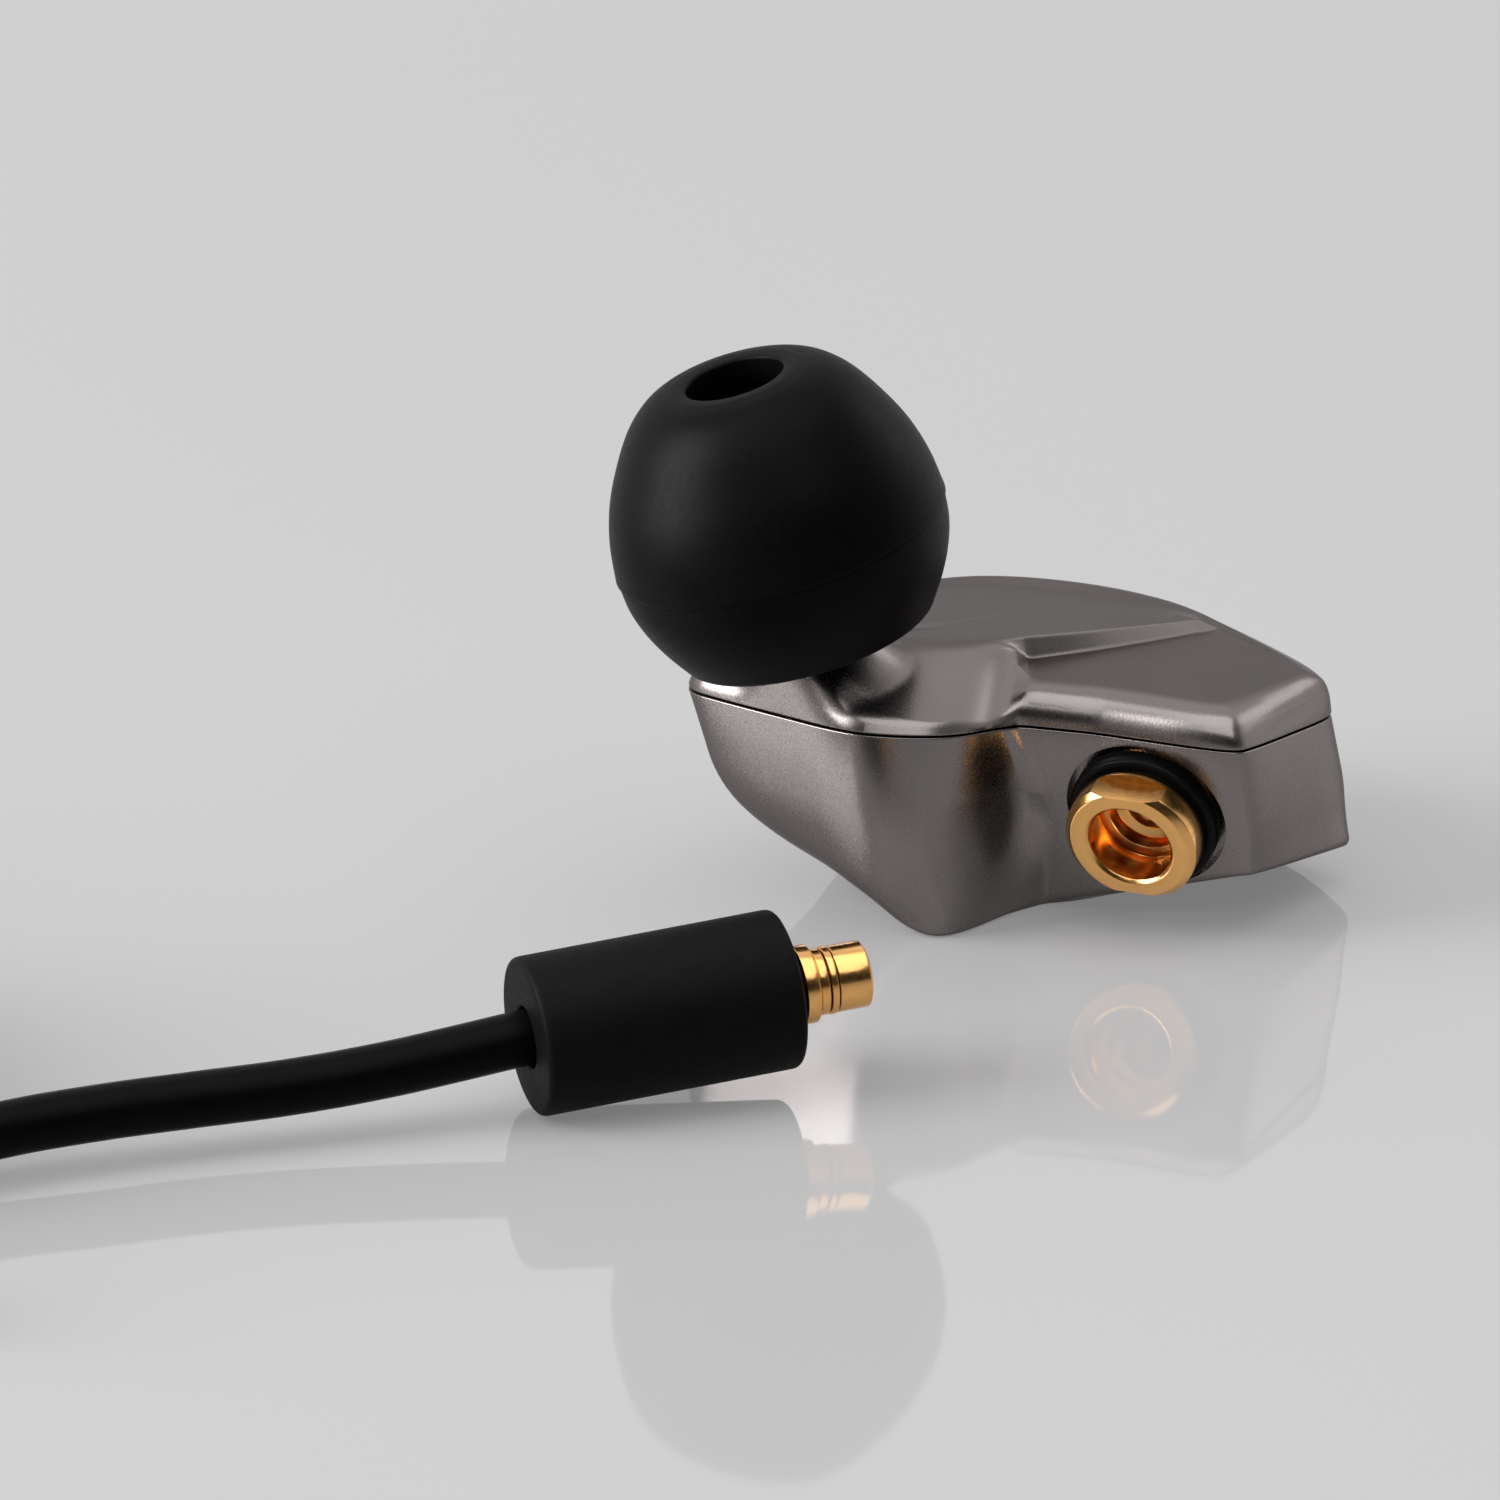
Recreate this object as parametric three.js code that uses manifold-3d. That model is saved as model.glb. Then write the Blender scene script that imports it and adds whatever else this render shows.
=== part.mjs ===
// In-ear monitor: the left earpiece on its resting face, and its detachable Y-shaped cable beside it.
// Units are millimetres, Z is up, X runs to the right and Y away from the front of the earpiece.
import * as THREE from "three";
import { mergeVertices } from "three/addons/utils/BufferGeometryUtils.js";
import Module from "manifold-3d";

const wasm = await Module();
wasm.setup();

// ---------------------------------------------------------------- driving dimensions

const GAP = 0.3; // clearance between pieces that touch or are cut by each other
const SEGMENTS = 28; // sides of the large turned pieces
const FINE_SEGMENTS = 16; // sides of the small turned pieces

// The drawing's origin is in front of the left end of the housing; the part's own origin is the
// bottom centre of the earpiece's box.
const EARPIECE_CENTRE = [8.4, 13.4, 0];

// Parting plane between the two shells: it falls slowly to the right and to the back.
const PARTING = { x: 17.5, y: 5.9, z: 7.8, fallX: 0.047, fallY: 0.126 };
const WALL = 1.0;
const LIP = 0.5; // how far the lower shell's locating lip stands into the upper shell
const LIP_INSET = 1.65;
const LIP_THICKNESS = 0.4;

// Nozzle and ear tip, along the nozzle's axis from the middle of the tip.
const NOZZLE_AXIS = [-0.27, -0.03, 0.962];
const TIP_CENTRE = [1.05, 9.5, 15.05];
const NOZZLE_RADIUS = 2.2;
const NOZZLE_BORE = 1.6;
const NOZZLE_END = 0.3;
const TIP_RADIUS = 6.2;
const TIP_MOUTH = 6.1;
const TIP_RIM = -4.1;

// Socket, along its axis outwards from the housing's front face.
const SOCKET_AXIS = [-0.35, -0.89, -0.31];
const SOCKET_FACE = [14.37, 7.99, 4.6];
const SOCKET_REACH = 1.95; // how far the socket stands out of the face
const SOCKET_RADIUS = 2.4;
const SOCKET_BORE = 1.58;
const SOCKET_DEPTH = 3.6; // depth of the plug bore behind the socket's outer end
const SEAT_RADIUS = 3.05; // round counterbore that holds the ring

// Plug: a moulded sleeve with a round contact that snaps into the socket.
const SLEEVE_RADIUS = 2.87;
const SLEEVE_LENGTH = 9.6;
const BARREL_RADIUS = 1.2;
const BARREL_REACH = 3.0;
const PLUG_AXIS = [0.95, 0.3, 0.08];
const PLUG_REAR = [-7.9, -10.1, 2.88];

// Cable
const CABLE = 2.0; // outer diameter
const TURN_OUTER = 13.5; // centreline radius of a coil's outermost turn
const TURN_PITCH = 2.1;
const TIE_WIDTH = 3.0;

// ---------------------------------------------------------------- helpers

const point = ([x, y, z]) => new THREE.Vector3(x, y, z);
const partingHeight = (x, y) => PARTING.z - PARTING.fallX * (x - PARTING.x) - PARTING.fallY * (y - PARTING.y);

// A closed geometry as a solid that can be joined and cut.
function solid(geometry) {
  const bare = geometry.clone();
  bare.deleteAttribute("normal");
  bare.deleteAttribute("uv");
  const merged = mergeVertices(bare, 1e-4);
  return new wasm.Manifold(
    new wasm.Mesh({
      numProp: 3,
      vertProperties: new Float32Array(merged.attributes.position.array),
      triVerts: new Uint32Array(merged.index.array),
    }),
  );
}

function geometryOf(manifold) {
  const mesh = manifold.getMesh();
  const geometry = new THREE.BufferGeometry();
  geometry.setAttribute("position", new THREE.BufferAttribute(new Float32Array(mesh.vertProperties), 3));
  geometry.setIndex(new THREE.BufferAttribute(new Uint32Array(mesh.triVerts), 1));
  return geometry;
}

// A ring turned about Z from a closed [radius, height] outline, whichever way round it is drawn.
function turned(outline, segments = SEGMENTS) {
  const closed = [...outline, outline[0]].map(([r, z]) => new THREE.Vector2(r, z));
  if (THREE.ShapeUtils.area(closed.slice(0, -1)) < 0) closed.reverse();
  return new THREE.LatheGeometry(closed, segments).rotateX(Math.PI / 2);
}

// A solid of revolution about Z whose outline starts and ends on the axis.
function turnedSolid(outline, segments = SEGMENTS) {
  const open = outline.map(([r, z]) => new THREE.Vector2(r, z));
  if (THREE.ShapeUtils.area(open) < 0) open.reverse();
  return new THREE.LatheGeometry(open, segments).rotateX(Math.PI / 2);
}

const rod = (radius, z0, z1, segments = FINE_SEGMENTS) =>
  turnedSolid([[0, z0], [radius, z0], [radius, z1], [0, z1]], segments);

const tube = (outer, inner, z0, z1, segments = FINE_SEGMENTS) =>
  turned([[inner, z0], [outer, z0], [outer, z1], [inner, z1]], segments);

function box(x0, x1, y0, y1, z0, z1) {
  const geometry = new THREE.BoxGeometry(x1 - x0, y1 - y0, z1 - z0);
  return geometry.translate((x0 + x1) / 2, (y0 + y1) / 2, (z0 + z1) / 2);
}

// The turn that takes +Z to an axis and keeps X as level as it can.
function frameAlong(axis, at) {
  const z = point(axis).normalize();
  const x = new THREE.Vector3(0, 0, 1).cross(z).normalize();
  const y = z.clone().cross(x);
  return new THREE.Matrix4().makeBasis(x, y, z).setPosition(point(at));
}

function groupAlong(axis, at) {
  const group = new THREE.Group();
  group.applyMatrix4(frameAlong(axis, at));
  return group;
}

function add(group, name, geometry, material) {
  const mesh = new THREE.Mesh(geometry, material);
  mesh.name = name;
  group.add(mesh);
  return mesh;
}

// A closed skin through rings of equal point counts, from the lowest ring to the highest.
function lofted(rings) {
  const count = rings[0].length;
  const positions = rings.flat().flatMap((p) => [p.x, p.y, p.z]);
  const index = [];
  for (let level = 0; level + 1 < rings.length; level++) {
    for (let i = 0; i < count; i++) {
      const a = level * count + i;
      const b = level * count + ((i + 1) % count);
      index.push(a, b, b + count, a, b + count, a + count);
    }
  }
  const cap = (ring, base, up) => {
    const flat = ring.map((p) => new THREE.Vector2(p.x, p.y));
    for (const [a, b, c] of THREE.ShapeUtils.triangulateShape(flat, [])) {
      index.push(...(up ? [base + a, base + b, base + c] : [base + a, base + c, base + b]));
    }
  };
  cap(rings[0], 0, false);
  cap(rings[rings.length - 1], (rings.length - 1) * count, true);
  const geometry = new THREE.BufferGeometry();
  geometry.setAttribute("position", new THREE.BufferAttribute(new Float32Array(positions), 3));
  geometry.setIndex(index);
  return geometry;
}

// A round cord along a curve, with a step every few diameters.
function cord(points, diameter = CABLE, sides = 8, step = 2.5) {
  const curve = new THREE.CatmullRomCurve3(points.map(point), false, "centripetal");
  const section = new THREE.Shape();
  for (let i = 0; i < sides; i++) {
    const angle = (i / sides) * 2 * Math.PI;
    const [x, y] = [(Math.cos(angle) * diameter) / 2, (Math.sin(angle) * diameter) / 2];
    if (i === 0) section.moveTo(x, y);
    else section.lineTo(x, y);
  }
  section.closePath();
  const steps = Math.max(4, Math.round(curve.getLength() / (step * diameter)));
  return new THREE.ExtrudeGeometry(section, { steps, bevelEnabled: false, extrudePath: curve });
}

// ---------------------------------------------------------------- materials

const paint = (color, roughness, metalness) =>
  new THREE.MeshStandardMaterial({ color, roughness, metalness });
const SHELL_METAL = paint(0x77716e, 0.38, 0.9);
const SILICONE = paint(0x17181a, 0.75, 0);
const GOLD = paint(0xd9a648, 0.25, 1);
const BLACK_PLASTIC = paint(0x1b1b1d, 0.5, 0);
const CABLE_BLACK = paint(0x121214, 0.45, 0);
const STEEL = paint(0xb9bcc0, 0.3, 1);
const COPPER = paint(0xb8703a, 0.35, 1);
const NATURAL_POLYMER = paint(0xe8e2d2, 0.6, 0);

// ---------------------------------------------------------------- housing

// Plan of the parting line, anticlockwise from the left end: round nose, front ridge, shallow
// valley, straight socket face, right corner and the full back.
const PARTING_LINE = [
  [-2.2, 12.2], [-1.1, 10.6], [1.1, 8.4], [2.9, 6.7], [4.3, 5.95], [6.1, 5.9], [7.6, 6.5], [9.0, 7.6],
  [10.2, 8.3], [12.3, 7.8], [13.7, 7.2], [15.9, 6.2], [17.3, 5.85], [18.2, 6.5], [21.1, 12.1], [20.7, 14.3],
  [18.6, 17.6], [15.0, 21.0], [11.0, 23.3], [6.5, 22.9], [1.5, 19.4], [-1.6, 15.2],
];

// Lower shell: [x, y, z] at its waist, along the full bilge of its round nose (the rest of that ring
// lies midway), at the edge of its underside and at the edge of its foot.
const WAIST = [
  [-1.1, 12.5, 4.4], [-0.3, 10.9, 4.4], [1.6, 8.9, 4.3], [3.2, 7.3, 4.2], [4.5, 6.4, 4.2], [6.3, 6.3, 4.2],
  [7.7, 7.3, 4.2], [9.4, 9.6, 4.2], [10.8, 9.5, 4.2], [12.3, 8.95, 4.2], [13.7, 8.4, 4.2], [15.9, 7.5, 4.2],
  [17.6, 6.95, 4.3], [18.6, 7.5, 4.2], [21.6, 12.7, 4.0], [21.1, 14.8, 3.8], [18.9, 18.2, 3.6],
  [15.2, 21.4, 3.5], [11.0, 23.4, 3.5], [6.6, 22.8, 3.5], [2.5, 19.0, 3.8], [0.0, 15.5, 4.2],
];
const BILGE = [
  [0.7, 12.6, 2.6], [1.1, 11.1, 2.6], [2.4, 9.3, 2.5], [3.7, 7.9, 2.1], [4.9, 7.1, 1.8], [6.5, 6.9, 1.6],
  [7.8, 7.6, 1.6],
];
const UNDERSIDE = [
  [3.2, 12.6, 1.3], [3.6, 11.3, 1.2], [4.1, 9.9, 1.1], [4.8, 8.7, 0.8], [5.6, 7.95, 0.35], [6.6, 7.5, 0.1],
  [7.8, 8.0, 0.1], [9.3, 9.6, 0.15], [10.7, 10.7, 0.4], [12.2, 10.1, 0.75], [13.8, 9.35, 1.2],
  [15.9, 8.35, 1.85], [17.6, 7.6, 2.4], [18.6, 7.9, 2.45], [21.9, 13.1, 1.6], [20.6, 14.8, 0.6],
  [18.3, 17.6, 0.3], [14.8, 20.4, 0.3], [11.0, 22.0, 0.3], [7.0, 21.3, 0.4], [4.0, 18.0, 0.6],
  [3.1, 15.0, 1.0],
];
const FOOT = [
  [5.4, 13.0], [5.3, 11.8], [5.4, 10.6], [5.7, 9.4], [6.2, 8.5], [6.9, 7.9], [7.9, 8.4], [9.3, 9.9],
  [10.7, 11.0], [11.9, 11.4], [13.2, 12.1], [14.8, 13.0], [16.3, 13.7], [17.4, 14.2], [18.9, 15.2],
  [18.6, 16.0], [17.4, 17.4], [14.5, 19.6], [11.0, 21.2], [7.3, 20.4], [5.2, 17.4], [5.2, 15.0],
];

// Upper shell: [x, y, height above the parting plane] at the end of its wall, at the crown of its
// bevel, at the crease behind the lowered socket block and at the edge of the top plateau.
const WALL_TOP = [
  [-1.9, 12.2, 0.7], [-0.9, 10.9, 0.7], [1.2, 8.8, 0.8], [3.0, 7.1, 0.9], [4.4, 6.3, 1.1], [6.2, 6.3, 1.3],
  [7.7, 7.0, 1.3], [9.1, 8.3, 1.3], [10.1, 8.5, 0.8], [12.3, 7.95, 0.8], [13.7, 7.3, 0.8], [15.9, 6.35, 0.8],
  [17.2, 6.0, 0.75], [18.1, 6.65, 0.75], [21.0, 12.0, 0.8], [20.6, 14.1, 0.9], [18.6, 17.5, 1.0],
  [15.2, 21.2, 1.2], [11.0, 23.3, 1.2], [6.6, 22.7, 1.2], [1.7, 19.2, 1.0], [-1.4, 15.0, 0.8],
];
const CROWN = [
  [0.0, 12.0, 1.6], [0.6, 11.2, 1.6], [1.9, 9.9, 1.7], [3.5, 8.5, 1.8], [4.9, 7.7, 2.0], [6.4, 7.9, 2.15],
  [7.9, 8.6, 2.15], [9.3, 9.8, 2.1], [10.2, 9.0, 1.45], [12.3, 8.5, 1.45], [13.7, 8.1, 1.45],
  [15.9, 7.35, 1.42], [17.1, 6.95, 1.42], [17.7, 7.4, 1.5], [20.5, 11.3, 1.75], [20.2, 13.0, 1.9],
  [18.2, 16.8, 2.0], [15.4, 20.6, 2.4], [11.0, 22.8, 2.45], [6.8, 22.4, 2.35], [2.3, 18.8, 1.9],
  [-0.2, 14.8, 1.7],
];
const CREASE = [
  [1.0, 12.2, 2.1], [1.4, 11.7, 2.1], [2.6, 11.0, 2.1], [4.2, 10.4, 2.2], [5.3, 10.2, 2.3], [6.6, 10.4, 2.4],
  [7.9, 10.8, 2.4], [9.3, 11.6, 2.35], [10.2, 12.2, 1.8], [12.2, 13.3, 1.9], [13.7, 14.2, 2.0],
  [15.4, 15.4, 2.1], [16.2, 16.0, 2.15], [16.6, 16.3, 2.15], [17.2, 16.8, 2.2], [16.9, 17.2, 2.25],
  [16.6, 18.2, 2.4], [14.6, 20.1, 2.6], [10.8, 22.0, 2.65], [7.0, 21.5, 2.6], [3.2, 18.2, 2.3],
  [1.2, 14.8, 2.1],
];
const PLATEAU = [
  [2.6, 12.8], [3.0, 12.4], [3.8, 11.9], [4.8, 11.6], [5.6, 11.4], [6.6, 11.35], [7.9, 11.55], [9.1, 11.9],
  [10.1, 12.6], [11.9, 13.7], [13.4, 14.7], [14.9, 15.7], [15.6, 16.2], [16.0, 16.5], [16.4, 16.8],
  [16.2, 17.2], [15.6, 17.9], [13.7, 19.3], [10.6, 21.0], [7.2, 20.4], [3.9, 17.6], [2.4, 15.0],
];
const PLATEAU_HEIGHT = 2.5;
const HEART = [10.0, 14.5]; // the middle of the housing's plan, towards which its walls are offset

const levelAbove = ([x, y, height]) => new THREE.Vector3(x, y, partingHeight(x, y) + height);
const partingRing = (height) => PARTING_LINE.map(([x, y]) => levelAbove([x, y, height]));

// The same ring moved inwards by a wall's thickness and up or down.
function inset(ring, wall, lift) {
  return ring.map((p) => {
    const inwards = new THREE.Vector2(HEART[0] - p.x, HEART[1] - p.y).normalize();
    return new THREE.Vector3(p.x + inwards.x * wall, p.y + inwards.y * wall, p.z + lift);
  });
}

const bilgeRing = () =>
  WAIST.map((p, i) => (BILGE[i] ? point(BILGE[i]) : point(p).lerp(point(UNDERSIDE[i]), 0.5)));

const lowerRings = () => [
  FOOT.map(([x, y]) => new THREE.Vector3(x, y, 0)),
  UNDERSIDE.map(point),
  bilgeRing(),
  WAIST.map(point),
  partingRing(-GAP / 2),
];

const upperRings = () => [
  partingRing(GAP / 2),
  WALL_TOP.map(levelAbove),
  CROWN.map(levelAbove),
  CREASE.map(levelAbove),
  PLATEAU.map(([x, y]) => levelAbove([x, y, PLATEAU_HEIGHT])),
];

// Everything under the upper shell's edge, as one large block.
function belowParting() {
  const up = [PARTING.fallX, PARTING.fallY, 1];
  const edge = [PARTING.x, PARTING.y, PARTING.z + GAP / 2];
  return solid(box(-40, 40, -40, 40, -20, 0).applyMatrix4(frameAlong(up, edge)));
}

function outerShell() {
  const body = solid(lofted(lowerRings()));
  const [foot, underside, bilge, waist, rim] = lowerRings();
  const hollow = solid(
    lofted([
      inset(foot, WALL, WALL),
      inset(underside, WALL, WALL),
      inset(bilge, WALL, 0.2),
      inset(waist, WALL, 0),
      inset(rim, WALL, WALL),
    ]),
  );
  const lip = solid(
    lofted([inset(rim, WALL * 0.7, -WALL), inset(rim, LIP_INSET, -GAP), inset(rim, LIP_INSET, LIP)]),
  );
  const lipHollow = solid(
    lofted([inset(rim, LIP_INSET + LIP_THICKNESS, -2 * WALL), inset(rim, LIP_INSET + LIP_THICKNESS, WALL)]),
  );
  const seat = groupAlong(SOCKET_AXIS, SOCKET_FACE).matrix;
  const counterbore = solid(rod(SEAT_RADIUS, -0.5, 6, SEGMENTS).applyMatrix4(seat));
  const bore = solid(rod(2.1 + GAP, -8, 6, SEGMENTS).applyMatrix4(seat));
  const tubeWay = solid(rod(NOZZLE_BORE + GAP, -7.4, 0).applyMatrix4(frameAlong(NOZZLE_AXIS, TIP_CENTRE)));
  const walls = body.subtract(hollow).add(lip.subtract(lipHollow).subtract(tubeWay));
  return geometryOf(walls.subtract(counterbore).subtract(bore));
}

function innerShell() {
  const nozzle = frameAlong(NOZZLE_AXIS, TIP_CENTRE);
  const stem = solid(
    turnedSolid(
      [
        [0, -6.3], [3.5, -6.3], [3.3, -5.4], [2.7, -4.7], [NOZZLE_RADIUS, -4.1], [NOZZLE_RADIUS, -0.7],
        [NOZZLE_RADIUS + 0.25, -0.5], [NOZZLE_RADIUS + 0.25, 0], [NOZZLE_RADIUS, NOZZLE_END], [0, NOZZLE_END],
      ],
      SEGMENTS,
    ).applyMatrix4(nozzle),
  );
  const soundBore = solid(rod(NOZZLE_BORE, -9, 2, FINE_SEGMENTS).applyMatrix4(nozzle));
  const body = solid(lofted(upperRings()));
  const [rim, wallTop, crown, crease, plateau] = upperRings();
  const hollow = solid(
    lofted([
      inset(rim, WALL, -WALL),
      inset(wallTop, WALL, -0.2),
      inset(crown, WALL, -0.7),
      inset(crease, WALL, -0.9),
      inset(plateau, WALL, -0.9),
    ]),
  );
  return geometryOf(body.subtract(hollow).add(stem).subtract(belowParting()).subtract(soundBore));
}

// ---------------------------------------------------------------- ear tip, nozzle fittings

function earTip() {
  const tip = groupAlong(NOZZLE_AXIS, TIP_CENTRE);
  const dome = turned([
    [1.9, TIP_MOUTH - 0.5], [2.25, TIP_MOUTH - 0.05], [2.9, TIP_MOUTH], [3.9, 5.45], [4.9, 4.15], [5.6, 2.7],
    [6.05, 1.1], [TIP_RADIUS, -0.4], [5.95, -1.7], [5.4, -2.9], [4.8, TIP_RIM + 0.2], [4.55, TIP_RIM],
    [4.35, TIP_RIM + 0.2], [4.9, -2.8], [5.45, -1.5], [5.7, -0.2], [5.55, 1.1], [5.1, 2.4], [4.4, 3.7],
    [3.6, 4.55], [1.9, 4.55],
  ]);
  const core = turned([
    [1.65, 4.2], [3.2, 4.2], [3.4, 3.6], [3.3, -3.0], [3.1, -3.3], [2.75, -3.3], [2.75, 0.6], [1.65, 0.9],
  ], 20);
  add(tip, "ear_tip_dome", dome, SILICONE);
  add(tip, "ear_tip_core", core, SILICONE);
  return tip;
}

function nozzleFittings() {
  const nozzle = groupAlong(NOZZLE_AXIS, TIP_CENTRE);
  add(nozzle, "nozzle_mesh", rod(NOZZLE_BORE - GAP, -0.15, 0.1), STEEL);
  add(nozzle, "acoustic_damper", tube(NOZZLE_BORE - GAP, 0.55, -2.4, -0.9), NATURAL_POLYMER);
  return nozzle;
}

// The flexible tube that takes the driver's sound from its spout up into the nozzle's bore.
const SOUND_TUBE = [
  [6.25, 12.96, 3.9], [5.5, 12.68, 3.9], [4.75, 12.2, 4.7], [4.2, 11.4, 6.0], [3.6, 10.5, 7.6],
  [2.9, 9.8, 9.0], [2.4, 9.66, 10.4],
];
const SOUND_TUBE_RADIUS = 0.9;
const SOUND_TUBE_BORE = 0.6;
function soundTube() {
  const section = new THREE.Shape().absarc(0, 0, SOUND_TUBE_RADIUS, 0, 2 * Math.PI);
  section.holes.push(new THREE.Path().absarc(0, 0, SOUND_TUBE_BORE, 0, 2 * Math.PI));
  return new THREE.ExtrudeGeometry(section, {
    steps: 9,
    bevelEnabled: false,
    curveSegments: 6,
    extrudePath: new THREE.CatmullRomCurve3(SOUND_TUBE.map(point)),
  });
}

// ---------------------------------------------------------------- balanced-armature driver

const DRIVER = { length: 7.8, width: 4.1, height: 2.8, at: [10.2, 14.4, 2.4], turn: 0.35 };
const CASE_WALL = 0.25;
const LID = 0.25; // thickness of the lid, which sits 0.2 above the case
const REED = { z: 1.15, halfWidth: 0.7, halfThickness: 0.08 };
const MOTOR = { z0: 0.4, z1: 1.9, slot: 1.0 }; // the coil and the magnets, slotted for the reed
const DIAPHRAGM = { z0: 2.05, z1: 2.15 };
const CRADLE = { beyondEnds: 0.9, beyondSides: 0.7, floor: -0.7, rim: 0.3 };
const SPOUT = { outer: 0.4, inner: 0.22, reach: 0.9, z: 1.5 };

function driver() {
  const group = new THREE.Group();
  group.position.fromArray(DRIVER.at);
  group.rotation.z = DRIVER.turn;
  const [l, w, h] = [DRIVER.length / 2, DRIVER.width / 2, DRIVER.height];
  const lidZ = h - LID;
  const cup = solid(box(-l, l, -w, w, 0, lidZ - 0.2)).subtract(
    solid(box(-l + CASE_WALL, l - CASE_WALL, -w + CASE_WALL, w - CASE_WALL, CASE_WALL, h)),
  );
  const [il, iw] = [l - CASE_WALL - GAP / 2, w - CASE_WALL - GAP / 2];
  const slotted = (x0, x1) =>
    geometryOf(
      solid(box(x0, x1, -iw, iw, MOTOR.z0, MOTOR.z1)).subtract(
        solid(box(-l, l, -MOTOR.slot, MOTOR.slot, REED.z - GAP, REED.z + GAP)),
      ),
    );
  const reed = [REED.z - REED.halfThickness, REED.z + REED.halfThickness];
  add(group, "driver_case", geometryOf(cup), STEEL);
  add(group, "driver_lid", box(-l, l, -w, w, lidZ, h), STEEL);
  add(group, "driver_coil", slotted(-0.6, il), COPPER);
  add(group, "driver_magnets", slotted(-il + 0.7, -0.9), STEEL);
  add(group, "driver_armature", box(-il + 0.1, il - 0.1, -REED.halfWidth, REED.halfWidth, ...reed), STEEL);
  const diaphragm = box(-il + 0.1, il - 0.1, -iw + 0.1, iw - 0.1, DIAPHRAGM.z0, DIAPHRAGM.z1);
  add(group, "driver_diaphragm", diaphragm, STEEL);
  const spout = tube(SPOUT.outer, SPOUT.inner, l + 0.05, l + SPOUT.reach, 12);
  add(group, "driver_spout", spout.rotateY(-Math.PI / 2).translate(0, 0, SPOUT.z), STEEL);
  add(group, "driver_terminal_board", box(l + 0.1, l + 0.35, -1.0, 1.0, 0.8, 2.1), BLACK_PLASTIC);
  const [cl, cw] = [l + CRADLE.beyondEnds, w + CRADLE.beyondSides];
  const tray = solid(box(-cl, cl, -cw, cw, CRADLE.floor, CRADLE.rim)).subtract(
    solid(box(-l - GAP / 2, l + GAP / 2, -w - GAP / 2, w + GAP / 2, -GAP / 2, h)),
  );
  add(group, "driver_cradle", geometryOf(tray), BLACK_PLASTIC);
  return group;
}

// ---------------------------------------------------------------- socket

function socket() {
  const group = groupAlong(SOCKET_AXIS, SOCKET_FACE);
  const back = SOCKET_REACH - SOCKET_DEPTH;
  const chamfer = 0.22;
  let body = solid(
    turnedSolid([
      [0, back - 1.6], [1.95, back - 1.6], [1.95, 0.75], [SOCKET_RADIUS, 0.75],
      [SOCKET_RADIUS, SOCKET_REACH - chamfer], [SOCKET_RADIUS - chamfer, SOCKET_REACH], [0, SOCKET_REACH],
    ]),
  );
  const flats = SOCKET_RADIUS * 0.88;
  for (const side of [-1, 1]) {
    const edge = [side * flats, side * (flats + 2)].sort((a, b) => a - b);
    body = body.subtract(solid(box(-4, 4, ...edge, 0.95, SOCKET_REACH + 1)));
  }
  const groove = SOCKET_BORE + 0.16;
  const bore = turnedSolid([
    [0, back], [0.95, back], [0.95, back + 1.2], [1.35, back + 1.2], [1.35, back + 1.9], [groove, back + 1.9],
    [groove, back + 2.4], [SOCKET_BORE, back + 2.4], [SOCKET_BORE, SOCKET_REACH - 0.12],
    [SOCKET_BORE + 0.14, SOCKET_REACH + 0.1], [0, SOCKET_REACH + 0.1],
  ]);
  const rear = rod(0.95, back - 3, back + 0.1);
  add(group, "socket_body", geometryOf(body.subtract(solid(bore)).subtract(solid(rear))), GOLD);
  add(group, "socket_ring", tube(2.75, 1.95 + GAP, -0.2, 0.55, SEGMENTS), BLACK_PLASTIC);
  add(group, "socket_insulator", tube(0.95 - GAP / 2, 0.45, back - 1.8, back + 0.2), NATURAL_POLYMER);
  add(group, "socket_contact", contact(back), GOLD);
  add(group, "socket_lock_nut", tube(2.5, 1.95 + 0.2, -3.2, -2.5), STEEL);
  return group;
}

// A hollow pin, open at its outer end.
function contact(back) {
  return turnedSolid([
    [0, back - 2.5], [0.3, back - 2.5], [0.3, back + 1.6], [0.17, back + 1.6], [0.17, back + 0.8],
    [0, back + 0.8],
  ]);
}

function hookUpWires() {
  const group = new THREE.Group();
  const wire = (name, from, to, rise) => {
    const middle = [(from[0] + to[0]) / 2, (from[1] + to[1]) / 2, Math.max(from[2], to[2]) + rise];
    add(group, name, cord([from, middle, to], 0.3, 6, 4), COPPER);
  };
  wire("signal_wire", [15.98, 12.1, 6.05], [14.62, 15.36, 4.0], 0.1);
  wire("ground_wire", [17.2, 11.4, 5.1], [14.2, 16.5, 4.0], 0.3);
  return group;
}

// ---------------------------------------------------------------- plug

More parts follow.
